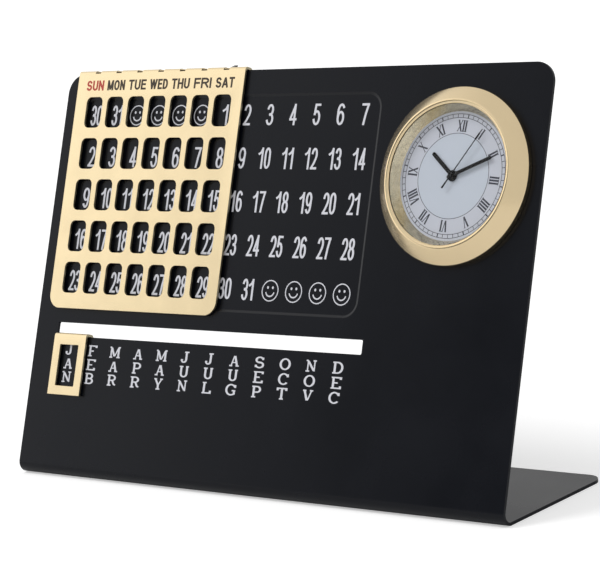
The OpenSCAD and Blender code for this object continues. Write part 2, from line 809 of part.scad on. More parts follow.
module motion_wheel() {
    color("white") at_clock() difference() {
        translate([motion_at[0], motion_at[1], motion_wheel_z]) {
            gear(motion_teeth, motion_module, wheel_t, motion_phase);
            gear(leaves, hour_module, hour_wheel_z + wheel_t - motion_wheel_z, motion_dir);
        }
        bore(motion_at, arbor_r + run_gap, motion_wheel_z, motion_room);
    }
}

module centre_wheel() {
    spoke_hole_r = 1.4;
    spoke_ring = 4;
    color("gold") at_clock() difference() {
        translate([0, 0, centre_wheel_z]) {
            gear(centre_teeth, centre_module, wheel_t, centre_phase);
            cylinder(r = minute_tube_r + 2 * boss_w, h = wheel_t + collar_t);
        }
        bore([0, 0], minute_tube_r + run_gap / 2, centre_wheel_z, wheel_t + collar_t);
        for (a = [0 : 90 : 270]) bore(polar(spoke_ring, a), spoke_hole_r, centre_wheel_z, wheel_t);
    }
}

// A wheel and its pinion on one arbor
module arbor(wheel_z, teeth, m, phase, leaf_z, leaf_m, leaf_phase, top) {
    translate([0, 0, bridge_z]) cylinder(r = arbor_r, h = top - bridge_z);
    translate([0, 0, wheel_z]) gear(teeth, m, wheel_t, phase);
    translate([0, 0, leaf_z - leaf_over]) gear(leaves, leaf_m, wheel_t + 2 * leaf_over, leaf_phase);
    translate([0, 0, wheel_z]) cylinder(r = core_r, h = leaf_z - wheel_z);
}

module third_wheel() {
    color("white") at_clock() translate([third_at[0], third_at[1], 0])
        arbor(third_wheel_z, third_teeth, train_module, third_phase,
            centre_wheel_z, centre_module, 0, plate_top);
}

// The second wheel's arbor runs through the minute tube and carries the second hand
module second_wheel() {
    color("white") at_clock()
        arbor(second_wheel_z, second_teeth, second_module, 0,
            third_wheel_z, train_module, 0, second_hand_z + hand_t);
}

module step_wheel() {
    color("white") at_clock() translate([step_at[0], step_at[1], 0])
        arbor(step_wheel_z, step_teeth, train_module, 0,
            second_wheel_z, second_module, step_phase, plate_top);
}

module rotor() {
    color("dimgray") at_clock() translate([rotor_at[0], rotor_at[1], 0]) {
        translate([0, 0, bridge_z]) cylinder(r = arbor_r, h = plate_top - bridge_z);
        translate([0, 0, step_wheel_z - leaf_over])
            gear(leaves, train_module, wheel_t + 2 * leaf_over, rotor_phase);
        translate([0, 0, stator_z - magnet_over])
            cylinder(r = magnet_r, h = stator_t + 2 * magnet_over);
    }
}

// Flat arm from one point towards another, and a little beyond it
module arm(from, to, over, w) {
    run = to - from;
    translate(from) rotate(atan2(run[1], run[0])) translate([0, -w / 2]) square([norm(run) + over, w]);
}

module stator() {
    yoke_mid = yoke_in + yoke_end;
    tab_low = coil_at + polar(tab_run, coil_dir + 90);
    tab_high = coil_at - polar(tab_run, coil_dir + 90);
    low = atan2(rotor_at[1], rotor_at[0]) + 360;
    high = atan2(tab_high[1], tab_high[0]);
    color("silver") at_clock() translate([0, 0, stator_z]) linear_extrude(stator_t) difference() {
        union() {
            translate(rotor_at) circle(magnet_r + lobe_w);
            translate(tab_low) circle(tab_r);
            translate(tab_high) circle(tab_r);
            arm(rotor_at, tab_low, 0, 2 * tab_r);
            arm(rotor_at, polar(yoke_mid, low), 0, 2 * tab_r);
            arm(tab_high, polar(yoke_mid, high), 0, 2 * tab_r);
            intersection() {
                difference() {
                    circle(yoke_in + yoke_w, $fn = fine);
                    circle(yoke_in, $fn = fine);
                }
                polygon([[0, 0], for (a = [high - 4, (high + low) / 2, low + 4]) polar(2 * yoke_in, a)]);
            }
        }
        translate(rotor_at) circle(magnet_r + magnet_gap);
    }
}

module coil() {
    core_len = 2 * tab_run + tab_r;
    color("chocolate") at_clock() translate([coil_at[0], coil_at[1], stator_z + stator_t + core_t / 2])
        rotate(coil_dir + 90) {
            rotate([0, 90, 0]) cylinder(r = coil_r, h = coil_len, center = true);
            for (x = [-coil_len / 2, coil_len / 2]) translate([x, 0, 0]) rotate([0, 90, 0])
                cylinder(r = cheek_r, h = cheek_t, center = true);
            cube([core_len, core_w, core_t], center = true);
        }
}

module circuit_board() {
    color("darkgreen") at_clock() difference() {
        union() {
            translate([board_at[0] - board_w / 2, board_at[1] - board_h / 2, board_z])
                linear_extrude(board_t) rounded(board_w, board_h, board_corner_r);
            translate([board_at[0] + chip_at[0], board_at[1] + chip_at[1], board_z - chip_t])
                cylinder(r = chip_r, h = chip_t + board_t / 2);
        }
        for (x = [-stake_run, stake_run]) bore(board_at + [x, 0], stake_r + snug, board_z, board_t);
    }
}

module quartz_can() {
    color("silver") at_clock() translate([board_at[0] - can_len / 2, board_at[1] + can_up, board_z - can_r])
        rotate([0, 90, 0]) cylinder(r = can_r, h = can_len);
}

module button_cell() {
    color("silver") at_clock() translate([cell_at[0], cell_at[1], cell_back]) {
        cylinder(r = cell_r, h = cell_t - cell_cap_t);
        translate([0, 0, cell_t / 2]) cylinder(r = cell_r - cell_cap_in, h = cell_t / 2);
    }
}

// A leaf drawn as (height, distance from the cell's middle towards the clock's middle)
module cell_leaf(path) {
    color("goldenrod") at_clock() translate(cell_at) rotate(cell_dir + 90)
        section(-contact_w / 2, contact_w) polygon(strip_outline(path, contact_t));
}

// The minus leaf runs from under the main plate to the front of the cell
module minus_contact() {
    top = plate_z - contact_t / 2;
    touch = cell_front + contact_t / 2;
    cell_leaf([[top, minus_foot[0]], [top, minus_foot[1]], [touch, 0], [touch, minus_tip]]);
}

// The plus leaf runs from under the bridge to the side of the cell
module plus_contact() {
    foot = bridge_z - contact_t / 2;
    touch = cell_r + contact_off + contact_t / 2;
    cell_leaf([[foot, touch + plus_foot], [foot, touch], [cell_back + plus_down, touch]]);
}

module setting_knob() {
    knob_z = -case_depth - knob_gap - knob_t;
    stem_z = knob_z + knob_t / 2;
    color("black") at_clock() translate([setting_at[0], setting_at[1], 0]) {
        translate([0, 0, stem_z]) cylinder(r = stem_r, h = motion_wheel_z + wheel_t - stem_z);
        translate([0, 0, motion_wheel_z - leaf_over])
            gear(setting_teeth, motion_module, wheel_t + 2 * leaf_over, setting_phase);
        translate([0, 0, knob_z]) difference() {
            cylinder(r = knob_r, h = knob_t);
            for (i = [0 : flutes - 1]) rotate(i * 360 / flutes)
                bore([knob_r, 0], flute_r, 0, knob_t);
        }
    }
}

stand_body();
click_spring();
day_frame();
month_frame();
clock_bezel();
clock_lens();
reflector_ring();
clock_dial();
hour_hand();
minute_hand();
second_hand();
clock_case();
grip_band();
main_plate();
train_bridge();
bridge_screws();
minute_pinion();
hour_wheel();
motion_wheel();
centre_wheel();
third_wheel();
second_wheel();
step_wheel();
rotor();
stator();
coil();
circuit_board();
quartz_can();
button_cell();
minus_contact();
plus_contact();
battery_cover();
setting_knob();
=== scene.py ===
# Perpetual desk calendar: finishes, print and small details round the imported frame.
# Places on the leaning panel are (x, s, h) in millimetres: across it, up it and out of its face.
import json
import math

import bpy
from mathutils import Matrix, Vector
from mathutils.geometry import delaunay_2d_cdt


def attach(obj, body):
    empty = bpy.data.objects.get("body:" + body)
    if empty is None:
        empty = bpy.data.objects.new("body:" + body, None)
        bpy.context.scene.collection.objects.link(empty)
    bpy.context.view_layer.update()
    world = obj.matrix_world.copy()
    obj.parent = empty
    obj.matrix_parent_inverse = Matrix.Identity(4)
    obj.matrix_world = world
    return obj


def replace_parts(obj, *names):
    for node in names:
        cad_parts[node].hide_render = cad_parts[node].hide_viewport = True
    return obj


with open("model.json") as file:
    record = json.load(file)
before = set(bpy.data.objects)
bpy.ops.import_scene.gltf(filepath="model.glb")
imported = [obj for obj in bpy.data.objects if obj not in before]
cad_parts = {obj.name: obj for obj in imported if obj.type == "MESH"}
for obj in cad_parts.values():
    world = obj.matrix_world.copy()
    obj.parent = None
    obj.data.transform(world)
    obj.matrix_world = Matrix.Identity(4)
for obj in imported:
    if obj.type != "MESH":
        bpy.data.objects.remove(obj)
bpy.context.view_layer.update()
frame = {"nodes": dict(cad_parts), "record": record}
nodes = frame["nodes"]
mm = 0.001

panel = {
    "lean": 21,  # degrees back from upright
    "frontY": -27.4,  # where the face meets the desk
    "firstColumn": -85.2,
    "columnPitch": 9.67,
    "firstRow": 123.15,
    "rowPitch": 14.12,
    "fieldDepth": 0.3,
}
clock = {"x": 68.9, "s": 102.95, "dialHeight": 1.5, "dialTurn": 5}

leanAngle = math.radians(panel["lean"])
leanSin, leanCos = math.sin(leanAngle), math.cos(leanAngle)
panelToWorld = Matrix(
    (
        (mm, 0, 0, 0),
        (0, leanSin * mm, -leanCos * mm, panel["frontY"] * mm),
        (0, leanCos * mm, leanSin * mm, 0),
        (0, 0, 0, 1),
    )
)
clockToWorld = panelToWorld @ Matrix.Translation((clock["x"], clock["s"], 0))
dialCentre = clockToWorld @ Vector((0, 0, clock["dialHeight"]))


# Finishes


def newFinish(name):
    material = bpy.data.materials.new(name)
    material.use_nodes = True
    tree = material.node_tree
    tree.nodes.clear()
    output = tree.nodes.new("ShaderNodeOutputMaterial")
    shader = tree.nodes.new("ShaderNodeBsdfPrincipled")
    tree.links.new(shader.outputs["BSDF"], output.inputs["Surface"])
    return material, tree, shader


def fill(tree, node, inputs):
    # an input takes a plain value, or a link when it is given another node's output
    for key, value in inputs.items():
        if isinstance(value, bpy.types.NodeSocket):
            tree.links.new(value, node.inputs[key])
        else:
            node.inputs[key].default_value = value


def addNode(tree, kind, settings=None, inputs=None):
    node = tree.nodes.new(kind)
    for key, value in (settings or {}).items():
        setattr(node, key, value)
    fill(tree, node, inputs or {})
    return node


def maths(tree, operation, *values):
    settings = {"operation": operation}
    return addNode(tree, "ShaderNodeMath", settings, dict(enumerate(values))).outputs["Value"]


def mixed(tree, factor, first, second):
    inputs = {0: factor, 6: first, 7: second}
    return addNode(tree, "ShaderNodeMix", {"data_type": "RGBA"}, inputs).outputs[2]


def betweenValues(tree, factor, low, high):
    # low where the factor is 0 and high where it is 1
    inputs = {0: factor, 2: low, 3: high}
    return addNode(tree, "ShaderNodeMix", {"data_type": "FLOAT"}, inputs).outputs[0]


def anyRay(tree, *kinds):
    # 1 for the rays of these kinds, 0 for all others
    path = addNode(tree, "ShaderNodeLightPath")
    value = path.outputs[kinds[0]]
    for kind in kinds[1:]:
        value = maths(tree, "MAXIMUM", value, path.outputs[kind])
    return value


def tinted(colour, factor):
    return tuple(min(1, c * factor) for c in colour[:3]) + (1,)


def noiseAt(tree, size, detail, stretch):
    # noise whose blotches are about size millimetres across, square to the leaning panel
    place = addNode(tree, "ShaderNodeTexCoord").outputs["Object"]
    squareOn = {"Vector": place, "Rotation": (math.pi / 2 - leanAngle, 0, 0)}
    turn = addNode(tree, "ShaderNodeMapping", {"vector_type": "TEXTURE"}, squareOn)
    scale = tuple(1 / (s * size * mm) for s in stretch)
    scaled = {"Vector": turn.outputs["Vector"], "Scale": scale}
    widen = addNode(tree, "ShaderNodeMapping", inputs=scaled)
    blotches = {"Vector": widen.outputs["Vector"], "Scale": 1, "Detail": detail, "Roughness": 0.55}
    return addNode(tree, "ShaderNodeTexNoise", inputs=blotches).outputs["Fac"]


def ranged(tree, value, low, high):
    limits = {"Value": value, "From Min": 0.3, "From Max": 0.7, "To Min": low, "To Max": high}
    return addNode(tree, "ShaderNodeMapRange", inputs=limits).outputs["Result"]


def grainedFinish(name, look):
    # soft patches in tone and gloss, and where grainDepth is given a fine grain that catches light
    material, tree, shader = newFinish(name)
    stretch = look.get("stretch", (1, 1, 1))
    patches = noiseAt(tree, look["patchSize"], 4, stretch)
    swing, roughSwing = look["swing"], 0.04
    darker, lighter = tinted(look["colour"], 1 - swing), tinted(look["colour"], 1 + swing)
    inputs = {
        "Base Color": mixed(tree, ranged(tree, patches, 0, 1), darker, lighter),
        "Roughness": ranged(tree, patches, look["rough"] - roughSwing, look["rough"] + roughSwing),
        "Metallic": look.get("metal", 0),
        "Specular IOR Level": look.get("specular", 0.5),
    }
    if look.get("grainDepth"):
        grain = noiseAt(tree, look["grainSize"], 2, stretch)
        depth = {"Height": grain, "Strength": 0.6, "Distance": look["grainDepth"] * mm}
        inputs["Normal"] = addNode(tree, "ShaderNodeBump", inputs=depth).outputs["Normal"]
    fill(tree, shader, inputs)
    return material


finishLooks = {
    # stand and frames
    "black_coat": dict(
        colour=(0.0020, 0.0029, 0.0060), rough=0.26, specular=0.222,
        swing=0.1, patchSize=30, grainSize=0.35, grainDepth=0.005,
    ),
    # a lighter, glossier copy of the black coat for the pressed field's soft edge: a painted highlight
    # line where the edge catches light
    "painted_highlight_edge": dict(
        colour=(0.0045, 0.0050, 0.0075), rough=0.3, specular=0.32, swing=0.1, patchSize=30,
    ),
    "blued_spring": dict(colour=(0.012, 0.012, 0.016), rough=0.3, metal=0.6, swing=0.2, patchSize=2),
    "gilt_sheet": dict(
        colour=(0.98, 0.80, 0.50), rough=0.21, metal=1,
        swing=0.015, patchSize=9, grainSize=0.12, grainDepth=0.002,
    ),
    # clock, outside
    "gilt_bezel": dict(
        colour=(0.91, 0.73, 0.455), rough=0.2, metal=1,
        swing=0.02, patchSize=14, grainSize=0.1, grainDepth=0.001,
    ),
    "dark_gilt": dict(
        colour=(0.56, 0.50, 0.36), rough=0.18, metal=1,
        swing=0.12, patchSize=1.6, grainSize=0.7, grainDepth=0.015,
    ),
    "dial_enamel": dict(colour=(0.555, 0.605, 0.685), rough=0.5, specular=0.3, swing=0.01, patchSize=8),
    "hand_lacquer": dict(colour=(0.003, 0.003, 0.0035), rough=0.3, specular=0.1, swing=0.1, patchSize=1),
    "case_plastic": dict(
        colour=(0.02, 0.02, 0.021), rough=0.5, swing=0.15, patchSize=3, grainSize=0.25, grainDepth=0.02,
    ),
    "black_rubber": dict(
        colour=(0.012, 0.012, 0.012), rough=0.75, swing=0.2, patchSize=2, grainSize=0.2, grainDepth=0.02,
    ),
    "knob_plastic": dict(
        colour=(0.016, 0.016, 0.016), rough=0.42, swing=0.2, patchSize=2, grainSize=0.2, grainDepth=0.015,
    ),
    # movement
    "movement_plastic": dict(
        colour=(0.62, 0.58, 0.47), rough=0.45, swing=0.04, patchSize=3, grainSize=0.2, grainDepth=0.01,
    ),
    "steel": dict(
        colour=(0.58, 0.58, 0.60), rough=0.3, metal=1, swing=0.06, patchSize=0.6, stretch=(6, 0.4, 1),
    ),
    "gear_brass": dict(
        colour=(0.72, 0.55, 0.25), rough=0.28, metal=1, swing=0.06, patchSize=0.8, stretch=(4, 0.5, 1),
    ),
    "gear_plastic": dict(colour=(0.80, 0.80, 0.78), rough=0.4, swing=0.03, patchSize=2),
    "magnet_ferrite": dict(colour=(0.05, 0.05, 0.055), rough=0.5, metal=0.3, swing=0.3, patchSize=0.3),
    "copper_wire": dict(
        colour=(0.60, 0.22, 0.10), rough=0.3, metal=1, swing=0.3, patchSize=0.12, stretch=(1, 6, 6),
    ),
    "green_board": dict(colour=(0.02, 0.16, 0.06), rough=0.3, swing=0.2, patchSize=0.8),
    "contact_brass": dict(
        colour=(0.75, 0.60, 0.28), rough=0.25, metal=1, swing=0.06, patchSize=0.7, stretch=(5, 0.5, 1),
    ),
    # print
    "white_print": dict(colour=(0.74, 0.745, 0.80), rough=0.5, swing=0.03, patchSize=1.5),
    "dark_print": dict(colour=(0.05, 0.035, 0.022), rough=0.45, swing=0.15, patchSize=1),
    "red_print": dict(colour=(0.52, 0.07, 0.05), rough=0.45, swing=0.08, patchSize=1),
    "dial_print": dict(colour=(0.022, 0.025, 0.042), rough=0.45, swing=0.12, patchSize=1),
}
finishes = {name: grainedFinish(name, look) for name, look in finishLooks.items()}

lensLook = {"rough": 0.02, "ior": 1.2}  # less than bare glass, because the lens is coated


def clearLens(name):
    # light and shadows of the hands pass through, and only the gloss of the pane is added
    material, tree, shader = newFinish(name)
    pane = {"Base Color": (1, 1, 1, 1), "Transmission Weight": 1}
    fill(tree, shader, pane | {"Roughness": lensLook["rough"], "IOR": lensLook["ior"]})
    clear = addNode(tree, "ShaderNodeBsdfTransparent")
    through = anyRay(tree, "Is Shadow Ray", "Is Diffuse Ray")
    inputs = {"Fac": through, 1: shader.outputs["BSDF"], 2: clear.outputs["BSDF"]}
    blend = addNode(tree, "ShaderNodeMixShader", inputs=inputs)
    fill(tree, tree.nodes["Material Output"], {"Surface": blend.outputs["Shader"]})
    return material


finishes["mineral_glass"] = clearLens("mineral_glass")

dialZones = {"middle": (0.555, 0.605, 0.685, 1), "ring": (0.575, 0.60, 0.675, 1), "radius": 13}


def twoZoneDial(material):
    # the ring under the numerals is a touch warmer than the middle
    tree = material.node_tree
    place = addNode(tree, "ShaderNodeTexCoord").outputs["Object"]
    away = addNode(tree, "ShaderNodeVectorMath", {"operation": "DISTANCE"}, {0: place, 1: dialCentre})
    inRing = maths(tree, "GREATER_THAN", away.outputs["Value"], dialZones["radius"] * mm)
    colour = mixed(tree, inRing, dialZones["middle"], dialZones["ring"])
    fill(tree, tree.nodes["Principled BSDF"], {"Base Color": colour})


twoZoneDial(finishes["dial_enamel"])

# colour of the painted shade on the sheet's sides that face left and right, and their duller roughness
sideShadeLook = {"colour": (0.46, 0.41, 0.28, 1), "rough": 0.42, "facing": 0.8}


def cutEdges(material):
    # the sheet's cut edges which face along the panel are painted darker, as painted shade on those
    # sides, and made duller than its face
    tree = material.node_tree
    shader = tree.nodes["Principled BSDF"]
    normal = addNode(tree, "ShaderNodeNewGeometry").outputs["True Normal"]
    across = addNode(tree, "ShaderNodeSeparateXYZ", inputs={"Vector": normal}).outputs["X"]
    onShadedSide = maths(tree, "GREATER_THAN", maths(tree, "ABSOLUTE", across), sideShadeLook["facing"])
    for name, key, blend in (("Base Color", "colour", mixed), ("Roughness", "rough", betweenValues)):
        face = shader.inputs[name].links[0].from_socket
        fill(tree, shader, {name: blend(tree, onShadedSide, face, sideShadeLook[key])})


# painted shade on the gilt sheet's sides that face left and right
cutEdges(finishes["gilt_sheet"])

for part in frame["record"]["subparts"]:
    for slot in nodes[part["node"]].material_slots:
        slot.material = finishes[part["material_slot"]]
print("finishes set on", len(nodes), "parts of the frame")


# Flat shapes: overlapping convex pieces are joined into one outline, and given a thickness

tiny = 1e-5


def unionOf(polygons):
    points, faces = [], []
    for polygon in polygons:
        area = sum(a[0] * b[1] - b[0] * a[1] for a, b in zip(polygon, polygon[1:] + polygon[:1]))
        if abs(area) < tiny / 100:
            continue
        ring = polygon if area > 0 else polygon[::-1]
        faces.append(list(range(len(points), len(points) + len(ring))))
        points += [Vector(p) for p in ring]
    flat, _, triangles, _, _, owners = delaunay_2d_cdt(points, [], faces, 1, tiny)
    return [(v.x, v.y) for v in flat], [list(t) for t, owner in zip(triangles, owners) if owner]


def outlineEdges(triangles):
    count = {}
    for t in triangles:
        for a, b in zip(t, t[1:] + t[:1]):
            count[(a, b)] = count.get((a, b), 0) + 1
    return [e for e in count if (e[1], e[0]) not in count]


def newShape():
    return {"verts": [], "faces": []}


def addFlat(shape, flat, place, low, high):
    # place puts a flat point (x, y) on the surface, and low and high are the heights of the solid
    points, triangles = flat
    start, count = len(shape["verts"]), len(points)
    for height in (low, high):
        for x, y in points:
            px, py = place(x, y)
            shape["verts"].append((px, py, height))
    for t in triangles:
        shape["faces"].append([start + count + i for i in t])
        shape["faces"].append([start + i for i in reversed(t)])
    for a, b in outlineEdges(triangles):
        shape["faces"].append([start + a, start + b, start + count + b, start + count + a])


def addPiece(name, shape, toWorld, finish, slot, body="stand", smoothAngle=None):
    mesh = bpy.data.meshes.new(name)
    mesh.from_pydata([toWorld @ Vector(v) for v in shape["verts"]], [], shape["faces"])
    mesh.validate()
    mesh.materials.append(finishes[finish])
    if smoothAngle:
        mesh.polygons.foreach_set("use_smooth", [True] * len(mesh.polygons))
        mesh.set_sharp_from_angle(angle=math.radians(smoothAngle))
    piece = bpy.data.objects.new(name, mesh)
    bpy.context.scene.collection.objects.link(piece)
    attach(piece, body)
    return piece


# Lettering drawn with a broad pen. A glyph is its width and its strokes, in a box of 1 by 1


def onRing(radius, degrees):
    a = math.radians(degrees)
    return radius * math.cos(a), radius * math.sin(a)


def arc(cx, cy, rx, ry, start, end):
    steps = max(3, round(abs(end - start) / 15))
    angles = [math.radians(start + (end - start) * i / steps) for i in range(steps + 1)]
    return [(cx + rx * math.cos(a), cy + ry * math.sin(a)) for a in angles]


def loop(cx, cy, rx, ry, straight=0):
    upper = arc(cx, cy + straight, rx, ry, 0, 180)
    lower = arc(cx, cy - straight, rx, ry, 180, 360)
    return upper + lower + [(cx + rx, cy + straight)]


def strokePolygons(points, penX, penY, capped=True):
    # convex pieces that cover a line drawn with a pen of penX by penY, with mitred turns
    squash = penX / penY
    r = penX / 2
    sharpest = 0.45  # a turn sharper than this gets a flat end
    line = [Vector((points[0][0], points[0][1] * squash))]
    for x, y in points[1:]:
        p = Vector((x, y * squash))
        if (p - line[-1]).length > tiny:
            line.append(p)
    closed = (line[0] - line[-1]).length < 10 * tiny
    if capped and not closed:
        line[0] = line[0] - (line[1] - line[0]).normalized() * r
        line[-1] = line[-1] + (line[-1] - line[-2]).normalized() * r
    sides = [(b - a).normalized() for a, b in zip(line, line[1:])]
    normals = [Vector((-d.y, d.x)) * r for d in sides]
    polygons = [[a + n, a - n, b - n, b + n] for a, b, n in zip(line, line[1:], normals)]
    turns = [(line[i + 1], i, i + 1) for i in range(len(sides) - 1)]
    if closed:
        turns.append((line[0], len(sides) - 1, 0))
    for p, i, j in turns:
        outward = -1 if sides[i].cross(sides[j]) > 0 else 1
        n1, n2 = normals[i] * outward, normals[j] * outward
        middle = n1 + n2
        if middle.length < tiny / 10:
            continue
        half = middle.length / 2
        reach = r * r / half if half > sharpest * r else r
        polygons.append([p, p + n1, p + middle.normalized() * reach, p + n2])
    return [[(q.x, q.y / squash) for q in polygon] for polygon in polygons]


def foot(x, y, reach=0.24):
    return [(x - reach, y), (x + reach, y)]


sansBowl = arc(0.55, 0.76, 0.42, 0.24, 90, -90)
sansGlyphs = {
    "0": (1, [loop(0.5, 0.5, 0.5, 0.3, 0.2)]),
    "1": (0.8, [[(1, 0), (1, 1)], [(0.94, 0.96), (0.62, 0.82), (0, 0.73)]]),
    "2": (1, [arc(0.5, 0.71, 0.49, 0.29, 165, -12) + [(0.84, 0.48), (0.5, 0.25), (0.14, 0.07)],
              [(0, 0), (1, 0)]]),
    "3": (1, [arc(0.47, 0.75, 0.45, 0.25, 160, -90), arc(0.47, 0.26, 0.52, 0.26, 90, -162)]),
    "4": (1, [[(0.74, 0), (0.74, 1)], [(0.7, 0.94), (0.02, 0.29)], [(0, 0.25), (1, 0.25)]]),
    "5": (1, [[(0.93, 1), (0.2, 1), (0.09, 0.52)], arc(0.48, 0.33, 0.51, 0.33, 138, -160)]),
    "6": (1, [arc(0.53, 0.67, 0.53, 0.33, 38, 180) + [(0, 0.3)], loop(0.5, 0.31, 0.5, 0.31)]),
    "7": (1, [[(0, 1), (1, 1)], [(0.93, 0.93), (0.62, 0.5), (0.38, 0)]]),
    "8": (1, [loop(0.5, 0.76, 0.44, 0.24), loop(0.5, 0.27, 0.5, 0.27)]),
    "9": (1, [arc(0.47, 0.33, 0.47, 0.33, 218, 360) + [(1, 0.7)], loop(0.5, 0.69, 0.5, 0.31)]),
    "A": (1.12, [[(0.02, 0), (0.46, 0.96)], [(0.98, 0), (0.54, 0.96)], [(0.22, 0.27), (0.78, 0.27)]]),
    "D": (1.02, [[(0, 0), (0, 1)], [(0, 1)] + arc(0.42, 0.5, 0.58, 0.5, 90, -90) + [(0, 0)]]),
    "E": (0.9, [[(0, 0), (0, 1)], [(0, 1), (1, 1)], [(0, 0.53), (0.9, 0.53)], [(0, 0), (1, 0)]]),
    "F": (0.84, [[(0, 0), (0, 1)], [(0, 1), (1, 1)], [(0, 0.52), (0.85, 0.52)]]),
    "H": (1, [[(0, 0), (0, 1)], [(1, 0), (1, 1)], [(0, 0.53), (1, 0.53)]]),
    "I": (0.02, [[(0, 0), (0, 1)]]),
    "M": (1.25, [[(0, 0), (0, 1)], [(1, 0), (1, 1)],
                 [(0.08, 0.92), (0.46, 0.08)], [(0.92, 0.92), (0.54, 0.08)]]),
    "N": (1, [[(0, 0), (0, 1)], [(1, 0), (1, 1)], [(0.06, 0.93), (0.94, 0.07)]]),
    "O": (1.1, [loop(0.5, 0.5, 0.5, 0.42, 0.08)]),
    "R": (1.02, [[(0, 0), (0, 1)], [(0, 1)] + sansBowl + [(0, 0.52)], [(0.55, 0.48), (0.96, 0.04)]]),
    "S": (1, [arc(0.5, 0.745, 0.46, 0.255, 30, 270) + arc(0.5, 0.255, 0.5, 0.255, 90, -150)]),
    "T": (0.96, [[(0.5, 0), (0.5, 1)], [(0, 1), (1, 1)]]),
    "U": (1, [[(0, 1)] + arc(0.5, 0.32, 0.5, 0.32, 180, 360) + [(1, 1)]]),
    "W": (1.5, [[(0, 1), (0.24, 0.03)], [(0.25, 0.03), (0.48, 0.97)],
                [(0.52, 0.97), (0.75, 0.03)], [(0.76, 0.03), (1, 1)]]),
}

# a stroke written as (weight, points) is drawn with a lighter pen
slabStem = [(0.22, 0), (0.22, 1)]
slabGlyphs = {
    "A": (1.1, [(0.6, [(0.2, 0), (0.47, 0.97)]), [(0.82, 0), (0.53, 0.97)],
                (0.8, [(0.3, 0.32), (0.7, 0.32)]), foot(0.16, 0, 0.16), foot(0.84, 0, 0.16)]),
    "B": (1, [slabStem, [(0, 1)] + arc(0.55, 0.75, 0.35, 0.25, 90, -90) + [(0.22, 0.5)],
              [(0.22, 0.52)] + arc(0.58, 0.26, 0.38, 0.26, 90, -90) + [(0, 0)]]),
    "C": (1, [arc(0.52, 0.5, 0.5, 0.5, 40, 320), [(0.95, 0.7), (0.95, 0.98)]]),
    "D": (1.05, [slabStem, [(0, 1)] + arc(0.5, 0.5, 0.48, 0.5, 90, -90) + [(0, 0)]]),
    "E": (1, [slabStem, [(0, 1), (1, 1), (1, 0.82)], [(0.22, 0.5), (0.7, 0.5)],
              (0.7, foot(0.7, 0.5, 0.01)), [(0, 0), (1, 0), (1, 0.2)]]),
    "F": (0.95, [slabStem, [(0, 1), (1, 1), (1, 0.82)], [(0.22, 0.48), (0.7, 0.48)], foot(0.24, 0)]),
    "G": (1.05, [arc(0.5, 0.5, 0.5, 0.5, 40, 290) + [(0.86, 0.1), (0.86, 0.4)],
                 foot(0.8, 0.42, 0.2), [(0.93, 0.7), (0.93, 0.98)]]),
    "J": (0.85, [[(0.62, 1), (0.62, 0.3)] + arc(0.31, 0.28, 0.31, 0.28, 0, -170),
                 foot(0.66, 1, 0.3), [(0.05, 0.22), (0.05, 0.3)]]),
    "L": (0.95, [slabStem, [(0, 0), (1, 0), (1, 0.24)], foot(0.24, 1)]),
    "M": (1.3, [(0.7, [(0.14, 0), (0.14, 1)]), [(0.84, 0), (0.84, 1)], [(0.17, 0.97), (0.46, 0.1)],
                (0.6, [(0.8, 0.97), (0.5, 0.1)]),
                foot(0.14, 0, 0.14), foot(0.84, 0, 0.16), foot(0.08, 1, 0.08), foot(0.9, 1, 0.1)]),
    "N": (1.1, [(0.6, [(0.18, 0), (0.18, 1)]), (0.6, [(0.84, 0), (0.84, 1)]), [(0.2, 0.95), (0.8, 0.06)],
                foot(0.18, 0, 0.18), foot(0.1, 1, 0.1), foot(0.84, 1, 0.16)]),
    "O": (1.05, [loop(0.5, 0.5, 0.48, 0.5)]),
    "P": (0.98, [slabStem, [(0, 1)] + arc(0.58, 0.73, 0.36, 0.27, 90, -90) + [(0.22, 0.46)],
                 foot(0.24, 0)]),
    "R": (1.08, [slabStem, [(0, 1)] + arc(0.55, 0.75, 0.32, 0.25, 90, -90) + [(0.22, 0.5)],
                 [(0.6, 0.48), (0.8, 0.1), (0.98, 0.03)], foot(0.24, 0, 0.22)]),
    "S": (0.92, [arc(0.5, 0.74, 0.42, 0.26, 30, 270) + arc(0.5, 0.26, 0.46, 0.26, 90, -150),
                 [(0.88, 0.76), (0.88, 0.98)], [(0.08, 0.02), (0.08, 0.26)]]),
    "T": (1, [[(0.5, 0), (0.5, 1)], [(0.02, 0.8), (0.02, 1), (0.98, 1), (0.98, 0.8)],
              foot(0.5, 0, 0.22)]),
    "U": (1.1, [[(0.2, 1)] + arc(0.51, 0.3, 0.31, 0.3, 180, 360) + [(0.82, 1)],
                foot(0.2, 1, 0.2), foot(0.84, 1, 0.15)]),
    "V": (1.1, [[(0.16, 0.97), (0.47, 0.05)], (0.6, [(0.84, 0.97), (0.53, 0.05)]),
                foot(0.16, 1, 0.16), foot(0.84, 1, 0.16)]),
    "Y": (1.05, [[(0.5, 0), (0.5, 0.42)], [(0.16, 0.97), (0.48, 0.42)],
                 (0.7, [(0.84, 0.97), (0.52, 0.42)]),
                 foot(0.16, 1, 0.16), foot(0.84, 1, 0.16), foot(0.5, 0, 0.22)]),
}
romanGlyphs = {
    "I": (0.26, [[(0.5, 0), (0.5, 1)], (0.6, [(-0.1, 0), (1.1, 0)]), (0.6, [(-0.1, 1), (1.1, 1)])]),
    "V": (0.62, [[(0.14, 1), (0.47, 0)], (0.45, [(0.86, 1), (0.53, 0)]),
                 (0.6, foot(0.12, 1, 0.18)), (0.6, foot(0.88, 1, 0.16))]),
    "X": (0.62, [[(0.12, 1), (0.88, 0)], (0.45, [(0.88, 1), (0.12, 0)]),
                 (0.6, foot(0.12, 1, 0.18)), (0.6, foot(0.88, 1, 0.14)),
                 (0.6, foot(0.12, 0, 0.14)), (0.6, foot(0.88, 0, 0.18))]),
}


